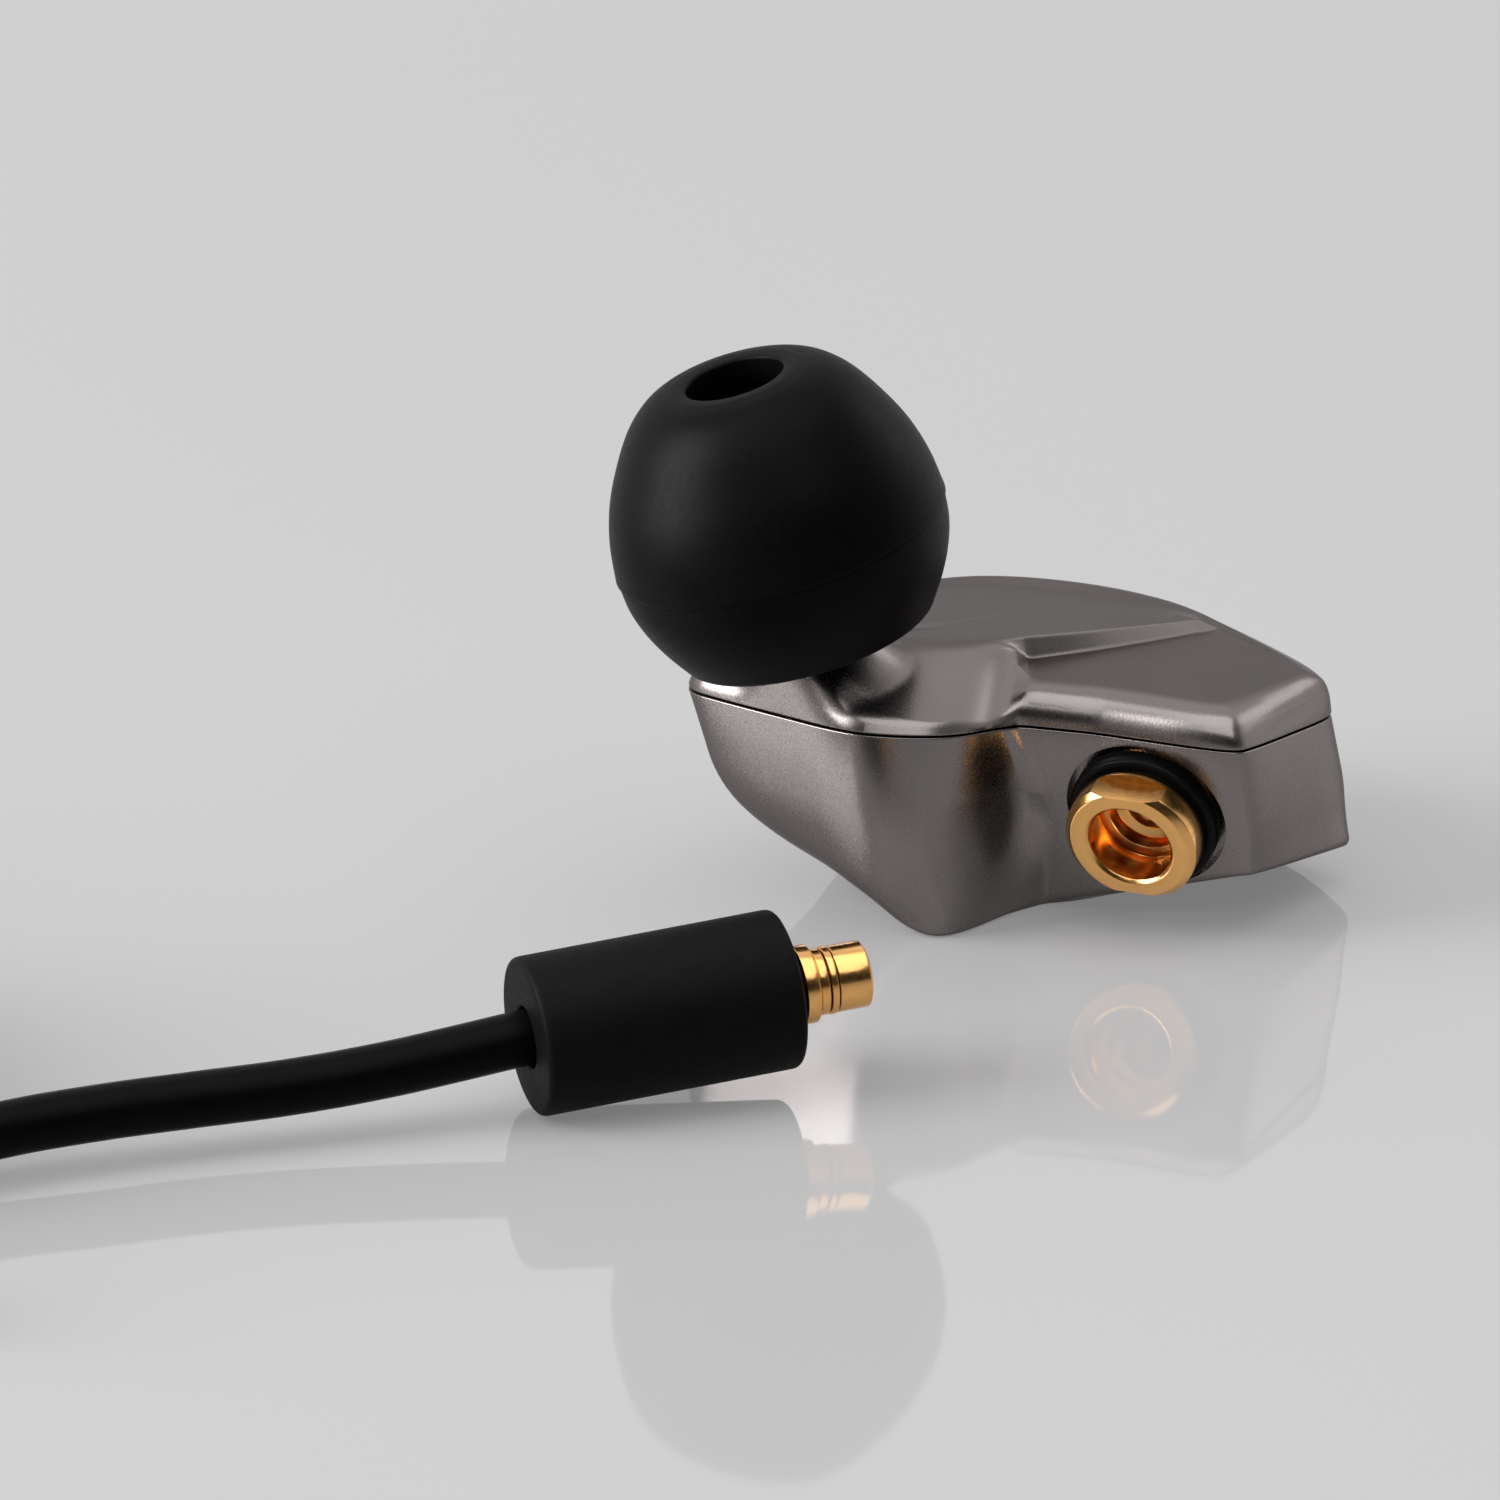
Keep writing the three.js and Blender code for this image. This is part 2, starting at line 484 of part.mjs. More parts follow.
function plug(side, axis, rear) {
  const group = groupAlong(axis, rear);
  const end = SLEEVE_LENGTH;
  const edge = 0.3;
  const sleeve = solid(
    turnedSolid([
      [0, 0], [SLEEVE_RADIUS - edge, 0], [SLEEVE_RADIUS, edge], [SLEEVE_RADIUS, end - edge],
      [SLEEVE_RADIUS - edge, end], [0, end],
    ]),
  )
    .subtract(solid(rod(CABLE / 2 + GAP, -1, 3.0)))
    .subtract(solid(rod(1.3, end - 3.2, end + 1)));
  const tip = end + BARREL_REACH;
  const barrel = turned([
    [0.75, end - 2.8], [1.0, end - 2.8], [1.0, end + 0.2], [1.4, end + 0.45], [1.4, end + 1.0],
    [1.15, end + 1.0], [1.15, end + 1.35], [0.95, end + 1.35], [0.95, end + 1.75],
    [BARREL_RADIUS, end + 1.85],
    [BARREL_RADIUS, tip - 0.15], [BARREL_RADIUS - 0.15, tip], [0.75, tip],
  ]);
  add(group, side + "_plug_sleeve", geometryOf(sleeve), BLACK_PLASTIC);
  add(group, side + "_plug_barrel", barrel, GOLD);
  add(group, side + "_plug_snap_ring", tube(1.24, 1.0, end + 1.42, end + 1.68, SEGMENTS), GOLD);
  add(group, side + "_plug_insulator", tube(0.6, 0.3, end - 2.4, tip - 0.9), NATURAL_POLYMER);
  add(group, side + "_plug_pin", rod(0.15, end - 2.6, tip - 0.25, 10), GOLD);
  return group;
}

// ---------------------------------------------------------------- cable

const COIL_LIFT = 0.6; // the ties pass under the coils
const SIDE_COILS = [-47, -10.5]; // the right lead's coil lies on the left lead's
const LEFT_COIL = { centre: SIDE_COILS, turns: 5.25, layers: 2, base: COIL_LIFT };
const RIGHT_COIL = { centre: SIDE_COILS, turns: 5.75, layers: 2, base: COIL_LIFT + 2 * TURN_PITCH + GAP };
const MAIN_COIL = { centre: [-77.5, -14.2], turns: 11.25, layers: 4, base: COIL_LIFT };
const SIDE_TIE_ANGLE = -0.5;
const MAIN_TIE_ANGLE = 1.2;

const LEFT_LEAD = [
  [-5.4, -9.3, 3.09], [-7.9, -10.1, 2.88], [-10.3, -10.95, 2.6], [-12.9, -11.9, 2.33], [-16.2, -12.95, 2.1],
  [-19.6, -14.0, 2.02], [-23.0, -15.25, 2.0], [-26.2, -16.6, 1.9], [-30.0, -18.9, 1.7], [-33.8, -21.4, 1.6],
  [-37.4, -23.1, 1.62],
];
const LEFT_LEAD_END = [
  [-60.6, -2.3, 3.3], [-61.0, -0.4, 2.9], [-62.3, 1.6, 2.5], [-64.3, 2.9, 2.15], [-66.8, 3.4, 2.0],
  [-69.7, 3.4, 2.0],
];
const RIGHT_LEAD = [
  [-69.7, 6.0, 2.0], [-67.3, 6.05, 2.2], [-64.6, 5.8, 2.9], [-61.6, 5.0, 4.1], [-58.5, 4.0, 5.3],
  [-55.4, 3.2, 6.05],
];
const RIGHT_LEAD_END = [
  [-60.6, -2.3, 8.1], [-60.7, 1.0, 7.9], [-60.6, 4.5, 7.2], [-60.0, 8.0, 5.9], [-58.4, 11.0, 4.5],
  [-55.8, 12.8, 3.3], [-53.4, 13.2, 2.9], [-50.0, 13.2, 2.88],
];
const MAIN_LEAD = [
  [-82.3, 4.7, 2.0], [-85.0, 4.4, 2.0], [-87.6, 3.1, 1.9], [-89.6, 0.9, 1.75], [-90.7, -2.0, 1.65],
  [-91.1, -5.8, 1.65],
];
const MAIN_LEAD_END = [
  [-69.1, -27.9, 3.7], [-67.6, -28.1, 3.65], [-66.3, -28.3, 3.6],
];
const RIGHT_PLUG_AXIS = [1, 0, 0];
const RIGHT_PLUG_REAR = [-52.5, 13.2, 2.88];

const coilInner = ({ turns, layers }) => TURN_OUTER - (turns / layers) * TURN_PITCH - CABLE / 2 - 0.1;
const coilOuter = TURN_OUTER + CABLE / 2 + 0.1;
const coilTop = ({ base, layers }) => base + layers * TURN_PITCH;

// The outer shape of a coil wound from its outermost turn inwards and back, layer on layer.
function coil(group, name, spec) {
  const ring = tube(coilOuter, coilInner(spec), spec.base, coilTop(spec), SEGMENTS);
  add(group, name, ring, CABLE_BLACK).position.set(...spec.centre, 0);
}

// A strap round one side of the coils that lie on each other, from the floor to the topmost.
const STRAP = 0.3;
function tie(group, name, specs, angle) {
  const inner = Math.min(...specs.map(coilInner));
  const top = Math.max(...specs.map(coilTop));
  const reach = [inner - 2 * STRAP, coilOuter + 2 * STRAP];
  const band = solid(box(...reach, -TIE_WIDTH / 2, TIE_WIDTH / 2, 0, top + 2 * STRAP));
  const window = box(inner - STRAP, coilOuter + STRAP, -TIE_WIDTH, TIE_WIDTH, STRAP, top + STRAP);
  const mesh = add(group, name, geometryOf(band.subtract(solid(window))), BLACK_PLASTIC);
  mesh.position.set(...specs[0].centre, 0);
  mesh.rotation.z = angle;
}

const SPLITTER = { x0: -82, x1: -70, y: 4.7, width: 6.6, height: 4.0 };
function splitter() {
  const { x0, x1, y, width, height } = SPLITTER;
  const half = width / 2;
  const shape = new THREE.Shape();
  shape.moveTo(x1, y - half);
  shape.lineTo(x1, y + half);
  shape.lineTo(x0 + 4, y + half);
  shape.quadraticCurveTo(x0 + 1, y + half, x0, y + 1.8);
  shape.lineTo(x0, y - 1.8);
  shape.quadraticCurveTo(x0 + 1, y - half, x0 + 4, y - half);
  shape.closePath();
  const edge = 0.5;
  return new THREE.ExtrudeGeometry(shape, {
    depth: height - 2 * edge,
    bevelThickness: edge,
    bevelSize: edge,
    bevelOffset: -edge,
    bevelSegments: 1,
    curveSegments: 3,
  }).translate(0, 0, edge);
}

const JACK_AXIS = [1, -0.075, 0];
const JACK_REAR = [-66.0, -28.35, 3.6];
function jack() {
  const group = groupAlong(JACK_AXIS, JACK_REAR);
  const relief = 8;
  const face = relief + 13;
  const stem = face - 0.2; // the contact stem starts in a shallow recess of the housing's face
  add(group, "jack_strain_relief", turned([
    [1.3, 0], [1.8, 0], [2.4, relief - 0.2], [1.3, relief - 0.2],
  ]), BLACK_PLASTIC);
  add(group, "jack_housing", turnedSolid([
    [0, relief + 0.1], [3.2, relief + 0.1], [3.6, relief + 0.6], [3.6, face - 0.5], [3.1, face],
    [2.1, face], [2.1, face - 0.3], [0, face - 0.3],
  ]), BLACK_PLASTIC);
  add(group, "jack_insulator", turnedSolid([
    [0, stem], [0.9, stem], [0.9, face + 8.4], [1.75, face + 8.4], [1.75, face + 8.9],
    [0.9, face + 8.9], [0.9, face + 10.8], [1.75, face + 10.8], [1.75, face + 11.3], [0, face + 11.3],
  ]), BLACK_PLASTIC);
  add(group, "jack_sleeve_contact", tube(1.75, 1.2, stem, face + 8.3), GOLD);
  add(group, "jack_ring_contact", tube(1.75, 1.2, face + 9.0, face + 10.7), GOLD);
  add(group, "jack_tip_contact", turnedSolid([
    [0, face + 11.4], [1.6, face + 11.4], [1.15, face + 12.1], [1.6, face + 12.7], [1.5, face + 13.3],
    [0.5, face + 14.2], [0, face + 14.2],
  ]), GOLD);
  return group;
}

function cable() {
  const group = new THREE.Group();
  add(group, "left_lead", cord(LEFT_LEAD), CABLE_BLACK);
  add(group, "left_lead_end", cord(LEFT_LEAD_END), CABLE_BLACK);
  add(group, "right_lead", cord(RIGHT_LEAD), CABLE_BLACK);
  add(group, "right_lead_end", cord(RIGHT_LEAD_END), CABLE_BLACK);
  add(group, "main_lead", cord(MAIN_LEAD), CABLE_BLACK);
  add(group, "main_lead_end", cord(MAIN_LEAD_END), CABLE_BLACK);
  coil(group, "left_lead_coil", LEFT_COIL);
  coil(group, "right_lead_coil", RIGHT_COIL);
  coil(group, "main_lead_coil", MAIN_COIL);
  tie(group, "side_leads_tie", [LEFT_COIL, RIGHT_COIL], SIDE_TIE_ANGLE);
  tie(group, "main_lead_tie", [MAIN_COIL], MAIN_TIE_ANGLE);
  add(group, "splitter", splitter(), BLACK_PLASTIC);
  group.add(jack());
  group.add(plug("left", PLUG_AXIS, PLUG_REAR));
  group.add(plug("right", RIGHT_PLUG_AXIS, RIGHT_PLUG_REAR));
  return group;
}

// ---------------------------------------------------------------- assembly

const earpiece = new THREE.Group();
add(earpiece, "outer_shell", outerShell(), SHELL_METAL);
add(earpiece, "inner_shell", innerShell(), SHELL_METAL);
add(earpiece, "sound_tube", soundTube(), NATURAL_POLYMER);
earpiece.add(earTip(), nozzleFittings(), driver(), socket(), hookUpWires());

const monitor = new THREE.Group();
monitor.position.fromArray(EARPIECE_CENTRE.map((c) => -c));
monitor.add(earpiece, cable());

export default monitor;
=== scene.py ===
import math

import bmesh
import bpy
import numpy as np
from mathutils import Matrix, Vector

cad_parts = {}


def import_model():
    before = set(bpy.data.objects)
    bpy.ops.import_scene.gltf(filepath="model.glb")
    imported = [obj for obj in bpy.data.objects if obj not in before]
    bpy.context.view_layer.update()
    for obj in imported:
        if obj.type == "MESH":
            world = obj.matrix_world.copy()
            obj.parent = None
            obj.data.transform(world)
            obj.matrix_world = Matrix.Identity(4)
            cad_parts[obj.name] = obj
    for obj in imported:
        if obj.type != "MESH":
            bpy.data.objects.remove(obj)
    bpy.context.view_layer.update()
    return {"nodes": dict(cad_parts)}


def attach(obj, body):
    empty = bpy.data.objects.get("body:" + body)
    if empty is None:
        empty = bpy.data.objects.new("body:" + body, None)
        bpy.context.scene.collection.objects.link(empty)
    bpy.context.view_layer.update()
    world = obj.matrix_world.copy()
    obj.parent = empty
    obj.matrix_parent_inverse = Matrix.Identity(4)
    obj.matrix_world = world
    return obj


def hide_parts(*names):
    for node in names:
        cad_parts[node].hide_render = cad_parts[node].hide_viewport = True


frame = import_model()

# ------------------------------------------------------------------ places

MM = 0.001
# The drawing's origin is in front of the left end of the housing. The frame's own origin is under
# the middle of the earpiece.
EARPIECE_CENTRE = np.array([8.4, 13.4, 0.0])

# Parting plane between the two shells, which falls slowly to the right and to the back.
PARTING = {"x": 17.5, "y": 5.9, "z": 7.8, "fall_x": 0.047, "fall_y": 0.126}
SEAM = 0.08  # width of the gap that shows between the shells
WALL = 1.0

NOZZLE_AXIS = (-0.27, -0.03, 0.962)
TIP_CENTRE = (1.05, 9.5, 15.05)
SOCKET_AXIS = (-0.35, -0.89, -0.31)
SOCKET_FACE = (14.37, 7.99, 4.6)
PLUG_AXIS = (0.95, 0.3, 0.08)
PLUG_REAR = (-7.9, -10.1, 2.88)
RIGHT_PLUG_AXIS = (1, 0, 0)
RIGHT_PLUG_REAR = (-52.5, 13.2, 2.88)
JACK_AXIS = (1, -0.075, 0)
JACK_REAR = (-66.0, -28.35, 3.6)

CABLE = 2.0  # outer diameter
TURN_OUTER = 13.5
TURN_PITCH = 2.1
COIL_LIFT = 0.6


def row(points):
    """Points of the drawing, in mm, as points of the frame, in metres."""
    return (np.asarray(points, float) - EARPIECE_CENTRE) * MM


def parting_height(x, y):
    p = PARTING
    return p["z"] - p["fall_x"] * (x - p["x"]) - p["fall_y"] * (y - p["y"])


def frame_along(axis, at):
    """The turn and move that takes +Z to an axis, in metres, and keeps X as level as it can."""
    z = Vector(axis).normalized()
    x = Vector((0, 0, 1)).cross(z).normalized()
    y = z.cross(x)
    turn = Matrix((x, y, z)).transposed().to_4x4()
    return Matrix.Translation(Vector(row(at))) @ turn


# ------------------------------------------------------------------ camera

CAMERA_DISTANCE = 600.0
CAMERA_ELEVATION = math.radians(20)
CAMERA_TARGET = (0.0, 0.0, 10.0)
CAMERA_WIDTH = 53.571  # mm of the target's plane across the picture


def make_camera():
    data = bpy.data.cameras.new("camera")
    data.sensor_width = 36.0
    data.lens = data.sensor_width * CAMERA_DISTANCE / CAMERA_WIDTH
    data.clip_start = 0.01
    data.clip_end = 20.0
    camera = bpy.data.objects.new("camera", data)
    bpy.context.scene.collection.objects.link(camera)
    back = Vector((0, -math.cos(CAMERA_ELEVATION), math.sin(CAMERA_ELEVATION)))
    camera.location = Vector(row(CAMERA_TARGET)) + back * CAMERA_DISTANCE * MM
    camera.rotation_euler = (math.pi / 2 - CAMERA_ELEVATION, 0, 0)
    bpy.context.scene.camera = camera


make_camera()

# ------------------------------------------------------------------ materials


class Nodes:
    """A material's node tree with a Principled shader, and short ways to add to it."""

    def __init__(self, name):
        self.material = bpy.data.materials.new(name)
        self.material.use_nodes = True
        self.tree = self.material.node_tree
        self.shader = self.tree.nodes["Principled BSDF"]
        self.place = self.add("ShaderNodeTexCoord").outputs["Object"]

    def add(self, kind, **settings):
        node = self.tree.nodes.new(kind)
        for key, value in settings.items():
            setattr(node, key, value)
        return node

    def link(self, output, target):
        self.tree.links.new(output, target)

    def set(self, **values):
        for key, value in values.items():
            socket = self.shader.inputs[key.replace("_", " ")]
            socket.default_value = (*value, 1) if isinstance(value, tuple) else value

    def noise(self, scale, detail=2.0, stretch=None):
        """Noise with features about 1 / scale metres across."""
        texture = self.add("ShaderNodeTexNoise")
        texture.inputs["Scale"].default_value = scale
        texture.inputs["Detail"].default_value = detail
        place = self.place
        if stretch:
            mapping = self.add("ShaderNodeMapping")
            mapping.inputs["Scale"].default_value = stretch
            self.link(place, mapping.inputs["Vector"])
            place = mapping.outputs["Vector"]
        self.link(place, texture.inputs["Vector"])
        return texture.outputs["Fac"]

    def tint(self, factor, low, high, at=(0.3, 0.7)):
        """Base colour between two colours by a factor."""
        ramp = self.add("ShaderNodeValToRGB")
        for stop, place, colour in zip(ramp.color_ramp.elements, at, (low, high)):
            stop.position = place
            stop.color = (*colour, 1)
        self.link(factor, ramp.inputs["Fac"])
        self.link(ramp.outputs["Color"], self.shader.inputs["Base Color"])

    def vary(self, socket, factor, low, high):
        """A shader value that runs from low to high by a factor."""
        spread = self.add("ShaderNodeMapRange")
        spread.inputs["From Min"].default_value = 0.25
        spread.inputs["From Max"].default_value = 0.75
        spread.inputs["To Min"].default_value = low
        spread.inputs["To Max"].default_value = high
        self.link(factor, spread.inputs["Value"])
        self.link(spread.outputs["Result"], self.shader.inputs[socket])

    def bump(self, height, distance, strength=1.0):
        """Relief of that distance in metres, on top of what is there already."""
        node = self.add("ShaderNodeBump")
        node.inputs["Distance"].default_value = distance
        node.inputs["Strength"].default_value = strength
        self.link(height, node.inputs["Height"])
        normal = self.shader.inputs["Normal"]
        if normal.is_linked:
            self.link(normal.links[0].from_socket, node.inputs["Normal"])
        self.link(node.outputs["Normal"], normal)


def shell_metal():
    """Dark nickel with the fine satin grain of a blasted and plated casting."""
    n = Nodes("shell_metal")
    n.set(Metallic=1.0, Specular_Tint=(0.52, 0.51, 0.51))
    n.tint(n.noise(250, 2), (0.212, 0.192, 0.187), (0.230, 0.208, 0.202))
    n.vary("Roughness", n.noise(9000, 1), 0.25, 0.29)
    n.bump(n.noise(9500, 0.0), 2.8e-6, 0.6)
    return n.material


def silicone():
    """Matte black moulded silicone with a dry, faintly speckled skin."""
    n = Nodes("tip_silicone")
    n.tint(n.noise(5200, 3), (0.0010, 0.0010, 0.0011), (0.0018, 0.0018, 0.0020))
    n.vary("Roughness", n.noise(4200, 2), 0.42, 0.50)
    n.set(Specular_IOR_Level=0.06)
    n.bump(n.noise(7500, 2), 6e-6, 0.5)
    return n.material


def gold():
    """Gold plating over turned brass."""
    n = Nodes("gold_plate")
    n.set(Metallic=1.0)
    light = (0.86, 0.47, 0.16)
    dark = tuple(c * 0.93 for c in light)
    n.tint(n.noise(2400, 3), dark, light)
    n.vary("Roughness", n.noise(5000, 2), 0.16, 0.24)
    n.bump(n.noise(9000, 2), 2.5e-6, 0.5)
    return n.material


def black_plastic(name="black_plastic", level=0.0028, rough=(0.52, 0.62), grain=2.0e-6):
    """Moulded black plastic with a fine spark-eroded grain."""
    n = Nodes(name)
    low = (level * 0.85,) * 3
    high = (level * 1.15, level * 1.15, level * 1.2)
    n.tint(n.noise(1800, 3), low, high)
    n.vary("Roughness", n.noise(3000, 2), *rough)
    n.set(Specular_IOR_Level=0.07)
    n.bump(n.noise(12000, 2), grain, 0.6)
    return n.material


def cable_jacket():
    """Satin extruded jacket with a little waviness."""
    n = Nodes("cable_jacket")
    n.tint(n.noise(900, 2), (0.0010, 0.0010, 0.0011), (0.0016, 0.0016, 0.0017))
    n.set(Specular_IOR_Level=0.05)
    n.vary("Roughness", n.noise(1500, 2), 0.36, 0.46)
    n.bump(n.noise(1300, 2), 1.0e-5, 0.25)
    return n.material


def strap():
    """Woven tape."""
    n = Nodes("tie_strap")
    n.tint(n.noise(3000, 2), (0.018, 0.018, 0.019), (0.034, 0.034, 0.036))
    n.set(Roughness=0.85, Sheen_Weight=0.25, Sheen_Roughness=0.5)
    for axis in ("X", "Z"):
        weave = n.add("ShaderNodeTexWave", bands_direction=axis)
        weave.inputs["Scale"].default_value = 1400
        n.link(n.place, weave.inputs["Vector"])
        n.bump(weave.outputs["Fac"], 3e-5, 0.5)
    return n.material


def steel():
    n = Nodes("steel")
    n.set(Metallic=1.0)
    n.tint(n.noise(2000, 3), (0.52, 0.52, 0.54), (0.62, 0.62, 0.63))
    n.vary("Roughness", n.noise(4000, 2, (1, 12, 12)), 0.26, 0.38)
    n.bump(n.noise(6000, 2, (1, 12, 12)), 2e-6, 0.5)
    return n.material


def copper():
    n = Nodes("copper")
    n.set(Metallic=1.0)
    n.tint(n.noise(3000, 3), (0.62, 0.29, 0.13), (0.80, 0.42, 0.22))
    n.vary("Roughness", n.noise(5000, 2), 0.25, 0.4)
    n.bump(n.noise(9000, 2, (1, 8, 1)), 4e-6, 0.5)
    return n.material


def natural_polymer():
    n = Nodes("natural_polymer")
    n.tint(n.noise(2500, 3), (0.74, 0.70, 0.61), (0.84, 0.81, 0.72))
    n.vary("Roughness", n.noise(3000, 2), 0.45, 0.6)
    n.set(Subsurface_Weight=0.15, Subsurface_Scale=0.0005)
    n.bump(n.noise(9000, 2), 2e-6, 0.5)
    return n.material


MATERIALS = {
    "shell_metal": shell_metal(),
    "tip_silicone": silicone(),
    "gold_plate": gold(),
    "black_ring": black_plastic("black_ring", 0.003, (0.30, 0.40), 1.0e-6),
    "black_plastic": black_plastic(),
    "cable_jacket": cable_jacket(),
    "tie_strap": strap(),
    "steel": steel(),
    "copper": copper(),
    "natural_polymer": natural_polymer(),
}

# ------------------------------------------------------------------ mesh helpers


def rounded(points, cuts, steps, closed, even=False):
    """A polyline along the first axis with its corners rounded.

    A corner starts and ends at its cut, a share up to 0.5 of the way to its neighbours, and its
    control point moves out so that the curve passes close to the given point. Even corners are cut
    by the same length on both sides.
    """
    p = np.asarray(points, float)
    before = np.roll(p, 1, axis=0)
    after = np.roll(p, -1, axis=0)
    c = np.asarray(cuts, float)
    c = c.reshape(c.shape + (1,) * (p.ndim - c.ndim))
    if not closed:
        before[0] = p[0]
        after[-1] = p[-1]
    cut_before = cut_after = c
    if even:
        to_before = np.maximum(np.linalg.norm(before - p, axis=-1, keepdims=True), 1e-9)
        to_after = np.maximum(np.linalg.norm(after - p, axis=-1, keepdims=True), 1e-9)
        length = c * np.minimum(to_before, to_after)
        cut_before, cut_after = length / to_before, length / to_after
    q = p + (cut_before * (p - before) + cut_after * (p - after)) / 4
    if not closed:
        q[0], q[-1] = p[0], p[-1]
    count = len(q)
    out = []
    for i in range(count):
        previous, following = q[i - 1], q[(i + 1) % count]
        if not closed and i in (0, count - 1):
            out.append(q[i])
            if i == 0:
                out.append(q[0] + (q[1] - q[0]) / 2)
            continue
        a = q[i] + cut_before[i] * (previous - q[i])
        b = q[i] + cut_after[i] * (following - q[i])
        for k in range(steps + 1):
            t = k / steps
            out.append((1 - t) ** 2 * a + 2 * t * (1 - t) * q[i] + t * t * b)
    return np.array(out)


def mesh_object(name, vertices, faces, material):
    mesh = bpy.data.meshes.new(name)
    mesh.from_pydata([tuple(v) for v in vertices], [], faces)
    tidy(mesh)
    thing = bpy.data.objects.new(name, mesh)
    bpy.context.scene.collection.objects.link(thing)
    finish_look(thing, material)
    return thing


MERGE_DISTANCE = 1e-7


def tidy(mesh):
    """Joins doubled points and turns the faces outwards."""
    b = bmesh.new()
    b.from_mesh(mesh)
    bmesh.ops.remove_doubles(b, verts=b.verts, dist=MERGE_DISTANCE)
    bmesh.ops.dissolve_degenerate(b, edges=b.edges, dist=MERGE_DISTANCE)
    bmesh.ops.recalc_face_normals(b, faces=b.faces)
    b.to_mesh(mesh)
    b.free()


def finish_look(thing, material):
    thing.data.materials.clear()
    thing.data.materials.append(MATERIALS[material])


def smooth(thing, angle=35):
    thing.data.shade_smooth()
    thing.data.set_sharp_from_angle(angle=math.radians(angle))


def skin(rings):
    """Quads between rings of equal length, each ring closed."""
    count = len(rings[0])
    faces = []
    for level in range(len(rings) - 1):
        low = level * count
        for i in range(count):
            j = (i + 1) % count
            faces.append((low + i, low + j, low + count + j, low + count + i))
    return faces


def turned(name, outline, place, material, segments=96, closed=True):
    """A turned piece from its [radius, height] outline in mm, placed by a matrix."""
    rings = []
    for angle in np.linspace(0, 2 * math.pi, segments, endpoint=False):
        c, s = math.cos(angle), math.sin(angle)
        rings.append([(r * c * MM, r * s * MM, z * MM) for r, z in outline])
    vertices = [v for ring in rings for v in ring]
    count = len(outline)
    faces = []
    for k in range(segments):
        here, there = k * count, (k + 1) % segments * count
        for i in range(count if closed else count - 1):
            j = (i + 1) % count
            faces.append((here + i, there + i, there + j, here + j))
    thing = mesh_object(name, vertices, faces, material)
    thing.data.transform(place)
    smooth(thing)
    return thing


def soften(outline, radius, steps=4, closed=True):
    """A [radius, height] outline with its corners rounded by a radius, one for all or one each."""
    p = [np.array(v, float) for v in outline]
    radii = radius if isinstance(radius, (list, tuple)) else [radius] * len(p)
    out = []
    for i, here in enumerate(p):
        if not closed and i in (0, len(p) - 1):
            out.append(tuple(here))
            continue
        to_a, to_b = p[i - 1] - here, p[(i + 1) % len(p)] - here
        la, lb = np.linalg.norm(to_a), np.linalg.norm(to_b)
        reach = min(radii[i], la * 0.45, lb * 0.45)
        a, b = here + to_a / la * reach, here + to_b / lb * reach
        for k in range(steps + 1):
            t = k / steps
            out.append(tuple((1 - t) ** 2 * a + 2 * t * (1 - t) * here + t * t * b))
    return out


def through(points, steps):
    """A smooth line through points in a plane, denser by a number of steps."""
    p = np.array(points, float)
    ahead = np.gradient(p, axis=0)
    out = []
    for i in range(len(p) - 1):
        for k in range(steps):
            t = k / steps
            a = 2 * t**3 - 3 * t**2 + 1
            b = t**3 - 2 * t**2 + t
            c = t**3 - t**2
            out.append(tuple(a * p[i] + b * ahead[i] + (1 - a) * p[i + 1] + c * ahead[i + 1]))
    return [*out, tuple(p[-1])]


def cut(thing, tool, operation="DIFFERENCE"):
    """Cuts a tool out of a piece, or joins it on, and removes the tool."""
    modifier = thing.modifiers.new("cut", "BOOLEAN")
    modifier.object = tool
    modifier.operation = operation
    modifier.solver = "EXACT"
    depsgraph = bpy.context.evaluated_depsgraph_get()
    made = bpy.data.meshes.new_from_object(thing.evaluated_get(depsgraph))
    thing.modifiers.clear()
    old = thing.data
    thing.data = made
    bpy.data.meshes.remove(old)
    bpy.data.objects.remove(tool)


def plug_tool(outline, place):
    """A solid of revolution to cut or join with. Its outline starts and ends on the axis."""
    return turned("tool", outline, place, "shell_metal", 128, closed=False)


# ------------------------------------------------------------------ cords

LEFT_LEAD = [
    (-5.4, -9.3, 3.09), (-7.9, -10.1, 2.88), (-10.3, -10.95, 2.6), (-12.9, -11.9, 2.33),
    (-16.2, -12.95, 2.1), (-19.6, -14.0, 2.02), (-23.0, -15.25, 2.0), (-26.2, -16.6, 1.9),
    (-30.0, -18.9, 1.7), (-33.8, -21.4, 1.6), (-37.4, -23.1, 1.62), (-41.5, -24.0, 1.65),
]
LEFT_LEAD_END = [
    (-60.55, -6.2, 3.6), (-60.6, -2.3, 3.3), (-61.0, -0.4, 2.9), (-62.3, 1.6, 2.5), (-64.3, 2.9, 2.15),
    (-66.8, 3.4, 2.0), (-70.4, 3.4, 2.0),
]
RIGHT_LEAD = [
    (-70.4, 6.0, 2.0), (-67.3, 6.05, 2.2), (-64.6, 5.8, 2.9), (-61.6, 5.0, 4.1), (-58.5, 4.0, 5.3),
    (-55.4, 3.2, 6.05), (-51.2, 3.0, 6.15),
]
RIGHT_LEAD_END = [
    (-60.55, -6.2, 8.25), (-60.6, -2.3, 8.1), (-60.7, 1.0, 7.9), (-60.6, 4.5, 7.2), (-60.0, 8.0, 5.9),
    (-58.4, 11.0, 4.5), (-55.8, 12.8, 3.3), (-53.4, 13.2, 2.9), (-50.0, 13.2, 2.88),
]
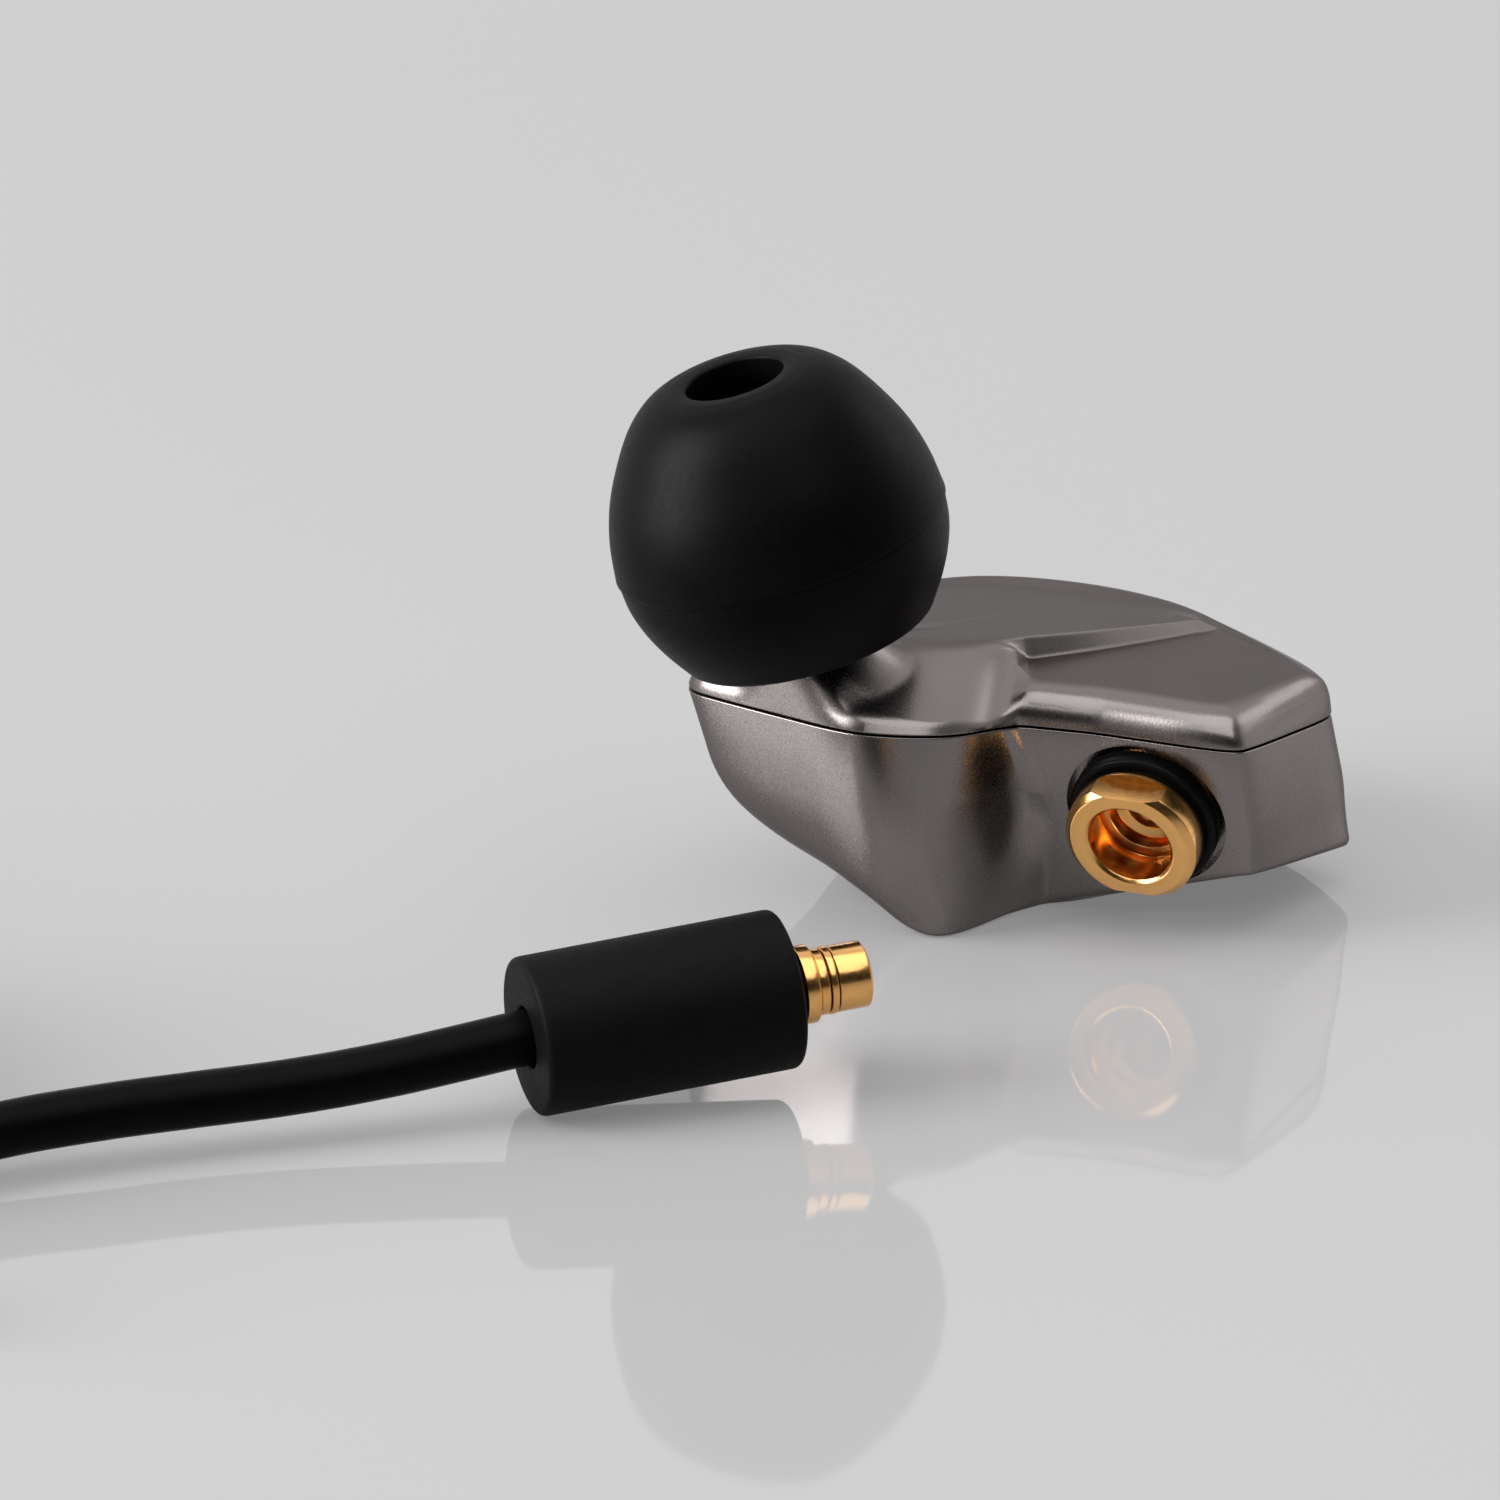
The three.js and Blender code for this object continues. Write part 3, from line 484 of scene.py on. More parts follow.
MAIN_LEAD = [
    (-81.6, 4.7, 2.0), (-85.0, 4.4, 2.0), (-87.6, 3.1, 1.9), (-89.6, 0.9, 1.75), (-90.7, -2.0, 1.65),
    (-91.1, -5.8, 1.65), (-91.1, -10.0, 1.65),
]
MAIN_LEAD_END = [
    (-73.3, -27.75, 3.75), (-69.1, -27.9, 3.7), (-67.6, -28.1, 3.65), (-65.7, -28.35, 3.6),
]

SIDE_COILS = (-47.0, -10.5)  # the right lead's coil lies on the left lead's
COILS = {
    "left_lead": {
        "centre": SIDE_COILS, "start": 270, "turns": -5.25, "layers": (0, 1), "base": COIL_LIFT,
    },
    "right_lead": {
        "centre": SIDE_COILS, "start": 90, "turns": -5.75, "layers": (0, 1),
        "base": COIL_LIFT + 2 * TURN_PITCH + 0.3,
    },
    "main_lead": {
        "centre": (-77.5, -14.2), "start": 180, "turns": 11.25, "layers": (0, 3, 2, 1),
        "base": COIL_LIFT,
    },
}
STEPS_PER_TURN = 18
CLIMB_TURNS = 0.35  # share of a turn over which the cable climbs to the next layer
CLIMB_TUCK = 0.9  # how far it tucks in, in pitches, when it climbs more than one layer


def winding(centre, start, turns, layers, base):
    """Points along a coil wound from its outermost turn inwards and back, layer on layer."""
    per_layer = abs(turns) / len(layers)
    steps = round(abs(turns) * STEPS_PER_TURN)
    points = []
    for k in range(steps + 1):
        done = k / STEPS_PER_TURN
        layer = min(int(done / per_layer), len(layers) - 1)
        along = done - layer * per_layer
        inwards = along if layer % 2 == 0 else per_layer - along
        radius = TURN_OUTER - TURN_PITCH * inwards
        height = layers[layer]
        if layer + 1 < len(layers):
            climb = min(1, max(0, (along - per_layer + CLIMB_TURNS) / CLIMB_TURNS))
            height += (layers[layer + 1] - height) * climb
            if layers[layer + 1] - layers[layer] > 1:
                radius -= TURN_PITCH * math.sin(math.pi * climb) * CLIMB_TUCK
        angle = math.radians(start) + 2 * math.pi * math.copysign(done, turns)
        points.append((
            centre[0] + radius * math.cos(angle),
            centre[1] + radius * math.sin(angle),
            base + TURN_PITCH * (height + 0.5),
        ))
    return points


def lead(name, before, after):
    """One free cable with its coil, as one open spline."""
    route = row(before + winding(**COILS[name]) + after)
    curve = bpy.data.curves.new(name + "_cable", "CURVE")
    curve.dimensions = "3D"
    curve.bevel_depth = CABLE / 2 * MM
    curve.bevel_resolution = 6
    curve.use_fill_caps = True
    spline = curve.splines.new("BEZIER")
    spline.bezier_points.add(len(route) - 1)
    for point, place in zip(spline.bezier_points, route):
        point.co = place
        point.handle_left_type = point.handle_right_type = "AUTO"
    spline.resolution_u = 6
    thing = bpy.data.objects.new(name + "_cable", curve)
    bpy.context.scene.collection.objects.link(thing)
    finish_look(thing, "cable_jacket")
    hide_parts(name, name + "_end", name + "_coil")
    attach(thing, "cable")
    return thing


left_cable = lead("left_lead", LEFT_LEAD, LEFT_LEAD_END)
right_cable = lead("right_lead", RIGHT_LEAD, RIGHT_LEAD_END)
main_cable = lead("main_lead", MAIN_LEAD, MAIN_LEAD_END)

# ------------------------------------------------------------------ housing

# Each ring is one level of the housing, anticlockwise in plan from the left end: round nose (0 to 3),
# front ridge (4, 5), shallow valley (6 to 8), straight socket face (9 to 11), right corner (12 to 14)
# and the full back. Lower shell, from its foot to its waist, [x, y, z].
FOOT = [
    (5.4, 13.0, 0), (5.3, 11.8, 0), (5.4, 10.6, 0), (5.7, 9.4, 0), (6.2, 8.5, 0), (6.9, 7.9, 0),
    (7.9, 8.4, 0), (9.3, 9.9, 0), (10.7, 11.0, 0), (11.9, 11.4, 0), (13.2, 12.1, 0),
    (14.8, 13.0, 0), (16.3, 13.7, 0),
    (17.4, 14.2, 0), (18.9, 15.2, 0), (18.6, 16.0, 0), (17.4, 17.4, 0), (14.5, 19.6, 0), (11.0, 21.2, 0),
    (7.3, 20.4, 0), (5.2, 17.4, 0), (5.2, 15.0, 0),
]
UNDERSIDE = [
    (3.2, 12.6, 1.3), (3.6, 11.3, 1.2), (4.1, 9.9, 1.1), (4.8, 8.7, 0.8), (5.6, 7.95, 0.35), (6.6, 7.5, 0.1),
    (7.8, 8.0, 0.1), (9.3, 9.6, 0.15), (10.7, 10.7, 0.4), (12.2, 10.1, 0.75), (13.8, 9.35, 1.2),
    (15.9, 8.35, 1.85), (17.6, 7.6, 2.4), (18.6, 7.9, 2.45), (21.9, 13.1, 1.6), (20.6, 14.8, 0.6),
    (18.3, 17.6, 0.3), (14.8, 20.4, 0.3), (11.0, 22.0, 0.3), (7.0, 21.3, 0.4), (4.0, 18.0, 0.6),
    (3.1, 15.0, 1.0),
]
BILGE = [
    (0.7, 12.6, 2.6), (1.1, 11.1, 2.6), (2.4, 9.3, 2.5), (3.7, 7.9, 2.1), (4.9, 7.1, 1.8), (6.5, 6.9, 1.6),
    (7.8, 7.6, 1.6),
]
WAIST = [
    (-1.1, 12.5, 4.4), (-0.3, 10.9, 4.4), (1.6, 8.9, 4.3), (3.2, 7.3, 4.2), (4.5, 6.4, 4.2), (6.3, 6.3, 4.2),
    (7.8, 7.4, 4.2), (9.7, 9.65, 4.2), (10.9, 9.45, 4.2), (12.3, 8.95, 4.2), (13.7, 8.4, 4.2),
    (15.9, 7.5, 4.2), (17.6, 6.95, 4.3), (18.6, 7.5, 4.2), (21.6, 12.7, 4.0), (21.1, 14.8, 3.8),
    (18.9, 18.2, 3.6), (15.2, 21.4, 3.5), (11.0, 23.4, 3.5), (6.6, 22.8, 3.5), (2.5, 19.0, 3.8),
    (0.0, 15.5, 4.2),
]
# Upper shell, [x, y, height above the parting plane], from the parting line to the top plateau.
PARTING_LINE = [
    (-2.2, 12.2, 0), (-1.1, 10.6, 0), (1.1, 8.4, 0), (2.9, 6.7, 0), (4.3, 5.95, 0), (6.1, 5.9, 0),
    (7.6, 6.5, 0), (8.8, 7.6, 0), (9.85, 8.4, 0), (12.3, 7.8, 0), (13.7, 7.2, 0), (15.9, 6.2, 0),
    (17.3, 5.85, 0), (18.2, 6.5, 0), (21.1, 12.1, 0), (20.7, 14.3, 0), (18.6, 17.6, 0), (15.0, 21.0, 0),
    (11.0, 23.3, 0), (6.5, 22.9, 0), (1.5, 19.4, 0), (-1.6, 15.2, 0),
]
WALL_TOP = [
    (-1.97, 12.2, 0.7), (-0.97, 10.8, 0.75), (1.2, 8.62, 0.8), (3.0, 6.97, 0.8), (4.38, 6.27, 0.65),
    (6.12, 6.15, 0.45), (7.62, 6.75, 0.42), (8.9, 7.9, 0.35), (9.93, 8.5, 0.6), (12.33, 7.88, 0.55),
    (13.73, 7.28, 0.55), (15.93, 6.28, 0.52), (17.25, 5.97, 0.5), (18.1, 6.62, 0.55), (21.0, 12.0, 0.8),
    (20.6, 14.1, 0.9), (18.6, 17.5, 1.0), (15.2, 21.2, 1.2), (11.0, 23.3, 1.2), (6.6, 22.7, 1.2),
    (1.7, 19.2, 0.9), (-1.4, 15.0, 0.6),
]
CROWN = [
    (-1.1, 12.2, 1.35), (-0.3, 11.05, 1.4), (1.65, 9.4, 1.45), (3.35, 8.0, 1.45), (4.68, 7.35, 1.25),
    (6.25, 7.35, 1.1), (7.75, 7.9, 1.05), (9.15, 9.1, 0.95), (10.05, 8.85, 1.16), (12.45, 8.2, 1.1),
    (13.85, 7.6, 1.08), (16.0, 6.6, 1.05), (17.1, 6.35, 1.05), (17.9, 6.9, 1.1), (20.75, 11.7, 1.4),
    (20.3, 13.6, 1.6), (18.4, 17.1, 1.8), (15.3, 20.8, 2.2), (11.0, 23.0, 2.25), (6.7, 22.5, 2.15),
    (2.0, 19.0, 1.6), (-0.8, 14.9, 1.3),
]
SHOULDER = [
    (0.0, 12.2, 1.75), (0.55, 11.4, 1.75), (2.1, 10.2, 1.7), (3.75, 9.3, 1.7), (4.95, 8.6, 1.75),
    (6.4, 8.7, 1.75), (7.85, 9.2, 1.72), (9.35, 10.4, 1.6), (10.3, 9.5, 1.5), (12.66, 8.85, 1.5),
    (14.06, 8.25, 1.5), (16.1, 7.3, 1.47), (16.95, 7.1, 1.47), (17.5, 7.5, 1.52), (20.1, 11.3, 1.8),
    (19.7, 13.2, 1.95), (17.7, 16.9, 2.15), (15.0, 20.5, 2.45), (10.9, 22.55, 2.5), (6.9, 22.1, 2.4),
    (2.6, 18.6, 2.0), (0.3, 14.8, 1.8),
]
CREASE = [
    (1.0, 12.2, 2.1), (1.4, 11.7, 2.1), (2.6, 11.0, 2.1), (4.2, 10.4, 2.2), (5.3, 10.2, 2.3),
    (6.6, 10.4, 2.4), (7.9, 10.8, 2.4), (9.3, 11.6, 2.35), (10.2, 12.2, 1.8), (12.2, 13.3, 1.9),
    (13.7, 14.2, 2.0), (15.4, 15.4, 2.1), (16.2, 16.0, 2.15), (16.6, 16.3, 2.15), (17.2, 16.8, 2.2),
    (16.9, 17.2, 2.25), (16.6, 18.2, 2.4), (14.6, 20.1, 2.6), (10.8, 22.0, 2.65), (7.0, 21.5, 2.6),
    (3.2, 18.2, 2.3), (1.2, 14.8, 2.1),
]
PLATEAU_HEIGHT = 2.5
PLATEAU = [
    (2.6, 12.8), (3.0, 12.4), (3.8, 11.9), (4.8, 11.6), (5.6, 11.4), (6.6, 11.35), (7.9, 11.55), (9.1, 11.9),
    (10.1, 12.6), (11.9, 13.7), (13.4, 14.7), (14.9, 15.7), (15.6, 16.2), (16.0, 16.5), (16.4, 16.8),
    (16.2, 17.2), (15.6, 17.9), (13.7, 19.3), (10.6, 21.0), (7.2, 20.4), (3.9, 17.6), (2.4, 15.0),
]
HEART = (10.0, 14.5)

# How soft each column's vertical edge is: 0.5 runs on smoothly, less leaves flats between edges.
COLUMN_SOFTNESS = [
    0.5, 0.5, 0.5, 0.5, 0.5, 0.5, 0.5, 0.42, 0.16, 0.3, 0.5, 0.5, 0.4, 0.4, 0.3, 0.4, 0.5, 0.5, 0.5, 0.5,
    0.5, 0.5,
]
# The same for each level's edge, over the round nose and ridge, over the socket block, and elsewhere.
LOWER_SOFTNESS = [(0.3, 0.2, 0.3), (0.5, 0.25, 0.45), (0.5, 0.5, 0.5), (0.5, 0.5, 0.5)]
UPPER_SOFTNESS = [
    (0.5, 0.5, 0.4), (0.5, 0.5, 0.45), (0.5, 0.5, 0.5), (0.5, 0.2, 0.5), (0.35, 0.2, 0.4),
]
NOSE_COLUMNS = range(0, 8)
BLOCK_COLUMNS = range(8, 15)


def lifted(ring):
    return [(x, y, parting_height(x, y) + h) for x, y, h in ring]


def level_softness(levels):
    """One row of column softness for each level."""
    rows = []
    for nose, block, rest in levels:
        rows.append([
            nose if c in NOSE_COLUMNS else block if c in BLOCK_COLUMNS else rest
            for c in range(len(PARTING_LINE))
        ])
    return rows


def toward_heart(ring, wall, lift):
    """The same ring moved inwards by a wall's thickness and up or down."""
    p = np.array(ring, float)
    inwards = np.array(HEART) - p[:, :2]
    p[:, :2] += inwards / np.linalg.norm(inwards, axis=1, keepdims=True) * wall
    p[:, 2] += lift
    return p


def half_surface(rings, levels, steps=8):
    """Dense rings of one half of the housing: its levels rounded upwards, then round the plan."""
    softness = np.array([[0.0] * len(PARTING_LINE), *level_softness(levels), [0.0] * len(PARTING_LINE)])
    upright = rounded(np.array(rings, float), softness, steps, closed=False, even=True)
    return rounded(np.swapaxes(upright, 0, 1), COLUMN_SOFTNESS, steps, closed=True).swapaxes(0, 1)


def shrunk(ring, share, towards):
    return ring + (np.asarray(towards) - ring) * share


def closed_solid(name, rings):
    """A closed body through rings of equal length, flat at both ends."""
    vertices = [v for ring in rings for v in row(ring)]
    faces = skin(rings)
    count = len(rings[0])
    last = (len(rings) - 1) * count
    faces += [tuple(reversed(range(count))), tuple(range(last, last + count))]
    return mesh_object(name, vertices, faces, "shell_metal")


EDGE = 0.06  # rounding of the lips at the parting line


def lip(ring, height, up, steps=5):
    """Rings that roll a wall's edge over its lip and in along the parting plane."""
    inwards = np.array(HEART) - ring[:, :2]
    inwards /= np.linalg.norm(inwards, axis=1, keepdims=True)
    rings = []
    for angle in np.linspace(0, math.pi / 2, steps + 1)[1:]:
        flat = ring[:, :2] + inwards * EDGE * (1 - math.cos(angle))
        level = parting_height(flat[:, 0], flat[:, 1]) + height + up * EDGE * math.sin(angle)
        rings.append(np.column_stack([flat, level]))
    return rings


SEAT_RADIUS = 3.05  # round counterbore that holds the socket's ring
SEAT_DEPTH = 0.5
SOCKET_HOLE = 2.4  # radius of the hole that the socket goes through
SOCKET_HOLE_DEPTH = 8
TOOL_REACH = 3  # how far these tools stand out of the wall

NOZZLE_RADIUS = 2.2
STEM_RADIUS = 1.95  # below the ear tip
NOZZLE_BORE = 1.6
FOOT_RADIUS = 3.3  # where the shell starts to rise towards the nozzle
FOOT_RISE = 1.4
FOOT_START = 0.15  # height above the parting plane at which points start to rise
FOOT_RANGE = 0.7  # height over which they come to rise in full


def seat_tool(radius, depth, place):
    """A cylinder to cut the socket's seat or hole with."""
    return plug_tool([(0, TOOL_REACH), (radius, TOOL_REACH), (radius, -depth), (0, -depth)], place)


def lower_shell():
    bilge = [BILGE[i] if i < len(BILGE) else (np.array(w) + np.array(u)) / 2
             for i, (w, u) in enumerate(zip(WAIST, UNDERSIDE))]
    height = -SEAM / 2 - EDGE
    rim = lifted([(x, y, height) for x, y, _ in PARTING_LINE])
    below = shrunk(np.array(FOOT, float), 0.4, (*HEART, 0.0))
    outer = half_surface([below, FOOT, UNDERSIDE, bilge, WAIST, rim], LOWER_SOFTNESS)
    shell = closed_solid("lower_shell", [*outer, *lip(outer[-1], height, 1)])
    cavity = [
        toward_heart(FOOT, WALL, WALL), toward_heart(UNDERSIDE, WALL, WALL), toward_heart(bilge, WALL, 0.2),
        toward_heart(WAIST, WALL, 0), toward_heart(rim, WALL, WALL),
    ]
    cut(shell, closed_solid("cavity", cavity))
    seat = frame_along(SOCKET_AXIS, SOCKET_FACE)
    cut(shell, seat_tool(SEAT_RADIUS, SEAT_DEPTH, seat))
    cut(shell, seat_tool(SOCKET_HOLE, SOCKET_HOLE_DEPTH, seat))
    smooth(shell)
    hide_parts("outer_shell")
    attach(shell, "earpiece")


def nozzle_foot(ring):
    """A ring of the upper shell with its points near the nozzle drawn up along the nozzle."""
    axis = np.array(NOZZLE_AXIS) / np.linalg.norm(NOZZLE_AXIS)
    apart = ring - np.array(TIP_CENTRE)
    beside = np.linalg.norm(apart - np.outer(apart @ axis, axis), axis=1)
    near = np.clip((FOOT_RADIUS - beside) / (FOOT_RADIUS - STEM_RADIUS), 0, 1)
    above = ring[:, 2] - parting_height(ring[:, 0], ring[:, 1])
    high = np.clip((above - FOOT_START) / FOOT_RANGE, 0, 1)
    return ring + np.outer(FOOT_RISE * near**1.5 * high, axis)


def upper_shell():
    height = SEAM / 2 + EDGE
    rim = lifted([(x, y, height) for x, y, _ in PARTING_LINE])
    top = np.array(lifted([(x, y, PLATEAU_HEIGHT) for x, y in PLATEAU]))
    middle = shrunk(top, 0.5, top.mean(axis=0))
    levels = [rim, lifted(WALL_TOP), lifted(CROWN), lifted(SHOULDER), lifted(CREASE), top, middle]
    outer = [nozzle_foot(ring) for ring in half_surface(levels, UPPER_SOFTNESS)]
    shell = closed_solid("upper_shell", [*lip(outer[0], height, -1)[::-1], *outer])
    cavity = [
        toward_heart(rim, WALL, -WALL), toward_heart(lifted(WALL_TOP), WALL, -0.2),
        toward_heart(lifted(CROWN), WALL, -0.7), toward_heart(lifted(CREASE), WALL, -0.9),
        toward_heart(top, WALL, -0.9),
    ]
    cut(shell, closed_solid("cavity", cavity))
    nozzle = frame_along(NOZZLE_AXIS, TIP_CENTRE)
    stem_line = [
        (0, -6.6), (STEM_RADIUS, -6.6), (STEM_RADIUS, -3.75), (NOZZLE_RADIUS, -3.5),
        (NOZZLE_RADIUS, -0.75), (2.42, -0.55), (2.46, -0.3), (2.42, -0.05), (NOZZLE_RADIUS, 0.25),
        (1.75, 0.3), (1.5, 0.3), (0, 0.3),
    ]
    cut(shell, plug_tool(stem_line, nozzle), "UNION")
    bore_line = [(0, -9), (NOZZLE_BORE, -9), (NOZZLE_BORE, 0.16), (NOZZLE_BORE + 0.3, 0.46), (0, 0.46)]
    cut(shell, plug_tool(bore_line, nozzle))
    smooth(shell)
    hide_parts("inner_shell")
    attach(shell, "earpiece")


lower_shell()
upper_shell()

# ------------------------------------------------------------------ ear tip


def ear_tip():
    """The silicone dome with its mouth, moulding seam and skirt, and the core that grips the nozzle."""
    place = frame_along(NOZZLE_AXIS, TIP_CENTRE)
    mouth_line = soften([(1.83, 5.3), (1.83, 6.04), (2.4, 6.07)], 0.12, 4, closed=False)
    skin_line = [
        (2.4, 6.07), (3.05, 5.92), (3.7, 5.55), (4.4, 4.82), (5.1, 3.68), (5.68, 2.45), (6.04, 1.15),
        (6.2, -0.18),
    ]
    lower_line = [(6.14, -0.32), (6.04, -1.25), (5.76, -2.15), (5.32, -3.05), (4.72, -4.0)]
    rim = [(4.64, -4.07), (4.55, -4.09), (4.47, -4.04), (4.45, -3.95)]
    inside = [
        (4.62, -3.5), (5.1, -2.5), (5.5, -1.3), (5.68, -0.1), (5.55, 1.1), (5.1, 2.4), (4.4, 3.7),
        (3.6, 4.5), (2.6, 4.75), (1.95, 4.95),
    ]
    step = [(6.18, -0.22), (6.13, -0.26)]
    outline = [
        *mouth_line, *through(skin_line, 8)[1:], *step, *through(lower_line, 8), *rim, *through(inside, 4),
    ]
    dome = turned("tip_dome", outline, place, "tip_silicone", 192)
    core_line = soften([
        (1.66, 4.75), (2.3, 4.75), (3.3, 4.2), (3.4, 3.6), (3.3, -3.0), (3.1, -3.3), (2.75, -3.3),
        (2.75, 0.6), (1.66, 0.95),
    ], 0.12, 3)
    core = turned("tip_core", core_line, place, "tip_silicone", 128)
    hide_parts("ear_tip_dome")
    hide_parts("ear_tip_core")
    for piece in (dome, core):
        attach(piece, "ear_tip")


ear_tip()

# ------------------------------------------------------------------ socket

SOCKET_REACH = 1.95
SOCKET_RADIUS = 2.5
SOCKET_BORE = 1.58
SOCKET_DEPTH = 3.6  # depth of the plug's bore
SOCKET_BACK = SOCKET_REACH - SOCKET_DEPTH
SOCKET_FLAT = 2.11  # distance of the two flats from the axis
FLAT_START = 0.95  # height at which they start
FLAT_TOOL = (9, 2, 3)


def socket():
    """The gold socket with two flats, its black ring, insulator and centre contact."""
    place = frame_along(SOCKET_AXIS, SOCKET_FACE)
    back = SOCKET_BACK
    outline = soften([
        (1.95, back - 1.6), (1.95, 0.75), (SOCKET_RADIUS, 0.78), (SOCKET_RADIUS, SOCKET_REACH - 0.24),
        (SOCKET_RADIUS - 0.26, SOCKET_REACH), (SOCKET_BORE + 0.13, SOCKET_REACH),
        (SOCKET_BORE, SOCKET_REACH - 0.13), (SOCKET_BORE, back + 2.4), (SOCKET_BORE + 0.17, back + 2.36),
        (SOCKET_BORE + 0.17, back + 1.9), (1.35, back + 1.84), (1.35, back + 1.25), (0.98, back + 1.15),
        (0.98, back), (0.8, back - 0.05), (0.8, back - 1.6),
    ], 0.035, 3)
    body = turned("socket_nut", outline, place, "gold_plate", 128)
    for side in (-1, 1):
        block = bpy.data.meshes.new("flat_tool")
        b = bmesh.new()
        bmesh.ops.create_cube(b, size=1.0)
        bmesh.ops.scale(b, vec=[size * MM for size in FLAT_TOOL], verts=b.verts)
        aside = side * (SOCKET_FLAT + FLAT_TOOL[1] / 2)
        bmesh.ops.translate(b, vec=(0, aside * MM, (FLAT_START + FLAT_TOOL[2] / 2) * MM), verts=b.verts)
        b.transform(place)
        b.to_mesh(block)
        b.free()
        tool = bpy.data.objects.new("flat_tool", block)
        bpy.context.scene.collection.objects.link(tool)
        cut(body, tool)
    smooth(body, 25)
    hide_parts("socket_body")
    ring = turned("socket_seal", soften([(2.25, -0.2), (2.8, -0.2), (2.8, 0.55), (2.25, 0.55)], 0.16, 4),
                  place, "black_ring", 128)
    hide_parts("socket_ring")
    core_line = [(0.45, back - 1.8), (0.8, back - 1.8), (0.8, back + 0.2), (0.45, back + 0.2)]
    core_line = soften(core_line, 0.04, 2)
    insulator = turned("socket_core", core_line, place, "natural_polymer", 64)
    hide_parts("socket_insulator")
    pin_line = soften([
        (0, back - 2.5), (0.3, back - 2.5), (0.3, back + 1.6), (0.17, back + 1.6), (0.17, back + 0.8),
        (0, back + 0.8),
    ], [0, 0.05, 0.05, 0.03, 0.03, 0], 2, closed=False)
    pin = turned("socket_pin", pin_line, place, "gold_plate", 48, closed=False)
    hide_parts("socket_contact")
    for piece in (body, ring, insulator, pin):
        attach(piece, "earpiece")


socket()

# ------------------------------------------------------------------ plugs

SLEEVE_RADIUS = 2.87
SLEEVE_LENGTH = 9.6
BARREL_RADIUS = 1.2
BARREL_REACH = 3.0


def plug(side, axis, rear):
    """One snap-in plug: sleeve, barrel, snap ring, insulator and pin."""
    place = frame_along(axis, rear)
    end = SLEEVE_LENGTH
    tip = end + BARREL_REACH
    sleeve_line = soften([
        (CABLE / 2 + 0.12, 3.0), (CABLE / 2 + 0.12, 0), (SLEEVE_RADIUS, 0), (SLEEVE_RADIUS, end), (1.3, end),
        (1.3, end - 3.2), (CABLE / 2 + 0.12, end - 3.2),
    ], [0.02, 0.12, 0.28, 0.28, 0.06, 0.02, 0.02], 5)
    sleeve = turned(side + "_shroud", sleeve_line, place, "black_plastic", 128)
    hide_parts(side + "_plug_sleeve")
    barrel_line = soften([
        (0.75, end - 2.8), (1.0, end - 2.8), (1.0, end + 0.36), (1.42, end + 0.44), (1.42, end + 0.94),
        (1.15, end + 1.02), (BARREL_RADIUS, end + 1.06), (BARREL_RADIUS, end + 1.37), (0.95, end + 1.39),
        (0.95, end + 1.71), (BARREL_RADIUS, end + 1.73),
        (BARREL_RADIUS, tip - 0.1), (BARREL_RADIUS - 0.2, tip), (0.75, tip),
    ], 0.05, 3)
    barrel = turned(side + "_barrel", barrel_line, place, "gold_plate", 96)
    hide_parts(side + "_plug_barrel")
    snap_line = soften([
        (1.0, end + 1.42), (1.23, end + 1.42), (1.23, end + 1.68), (1.0, end + 1.68),
    ], 0.05, 4)
    snap = turned(side + "_snap_ring", snap_line, place, "gold_plate", 96)
    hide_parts(side + "_plug_snap_ring")
    core_line = soften([(0.3, end - 2.4), (0.7, end - 2.4), (0.7, tip - 0.9), (0.3, tip - 0.9)], 0.04, 2)
    core = turned(side + "_core", core_line, place, "natural_polymer", 64)
    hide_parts(side + "_plug_insulator")
    pin_line = soften([(0, end - 2.6), (0.15, end - 2.6), (0.15, tip - 0.25), (0, tip - 0.25)],
                      [0, 0.04, 0.1, 0], 3, closed=False)
    pin = turned(side + "_pin", pin_line, place, "gold_plate", 32, closed=False)
    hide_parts(side + "_plug_pin")
    pieces = [sleeve, barrel, snap, core, pin]
    for piece in pieces:
        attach(piece, "cable")
    return pieces


left_plug = plug("left", PLUG_AXIS, PLUG_REAR)
right_plug = plug("right", RIGHT_PLUG_AXIS, RIGHT_PLUG_REAR)

# ------------------------------------------------------------------ splitter, jack and ties

SPLITTER = {"x0": -82.0, "x1": -70.0, "y": 4.7, "width": 6.6, "height": 4.0}
SPLITTER_SEGMENTS = 48


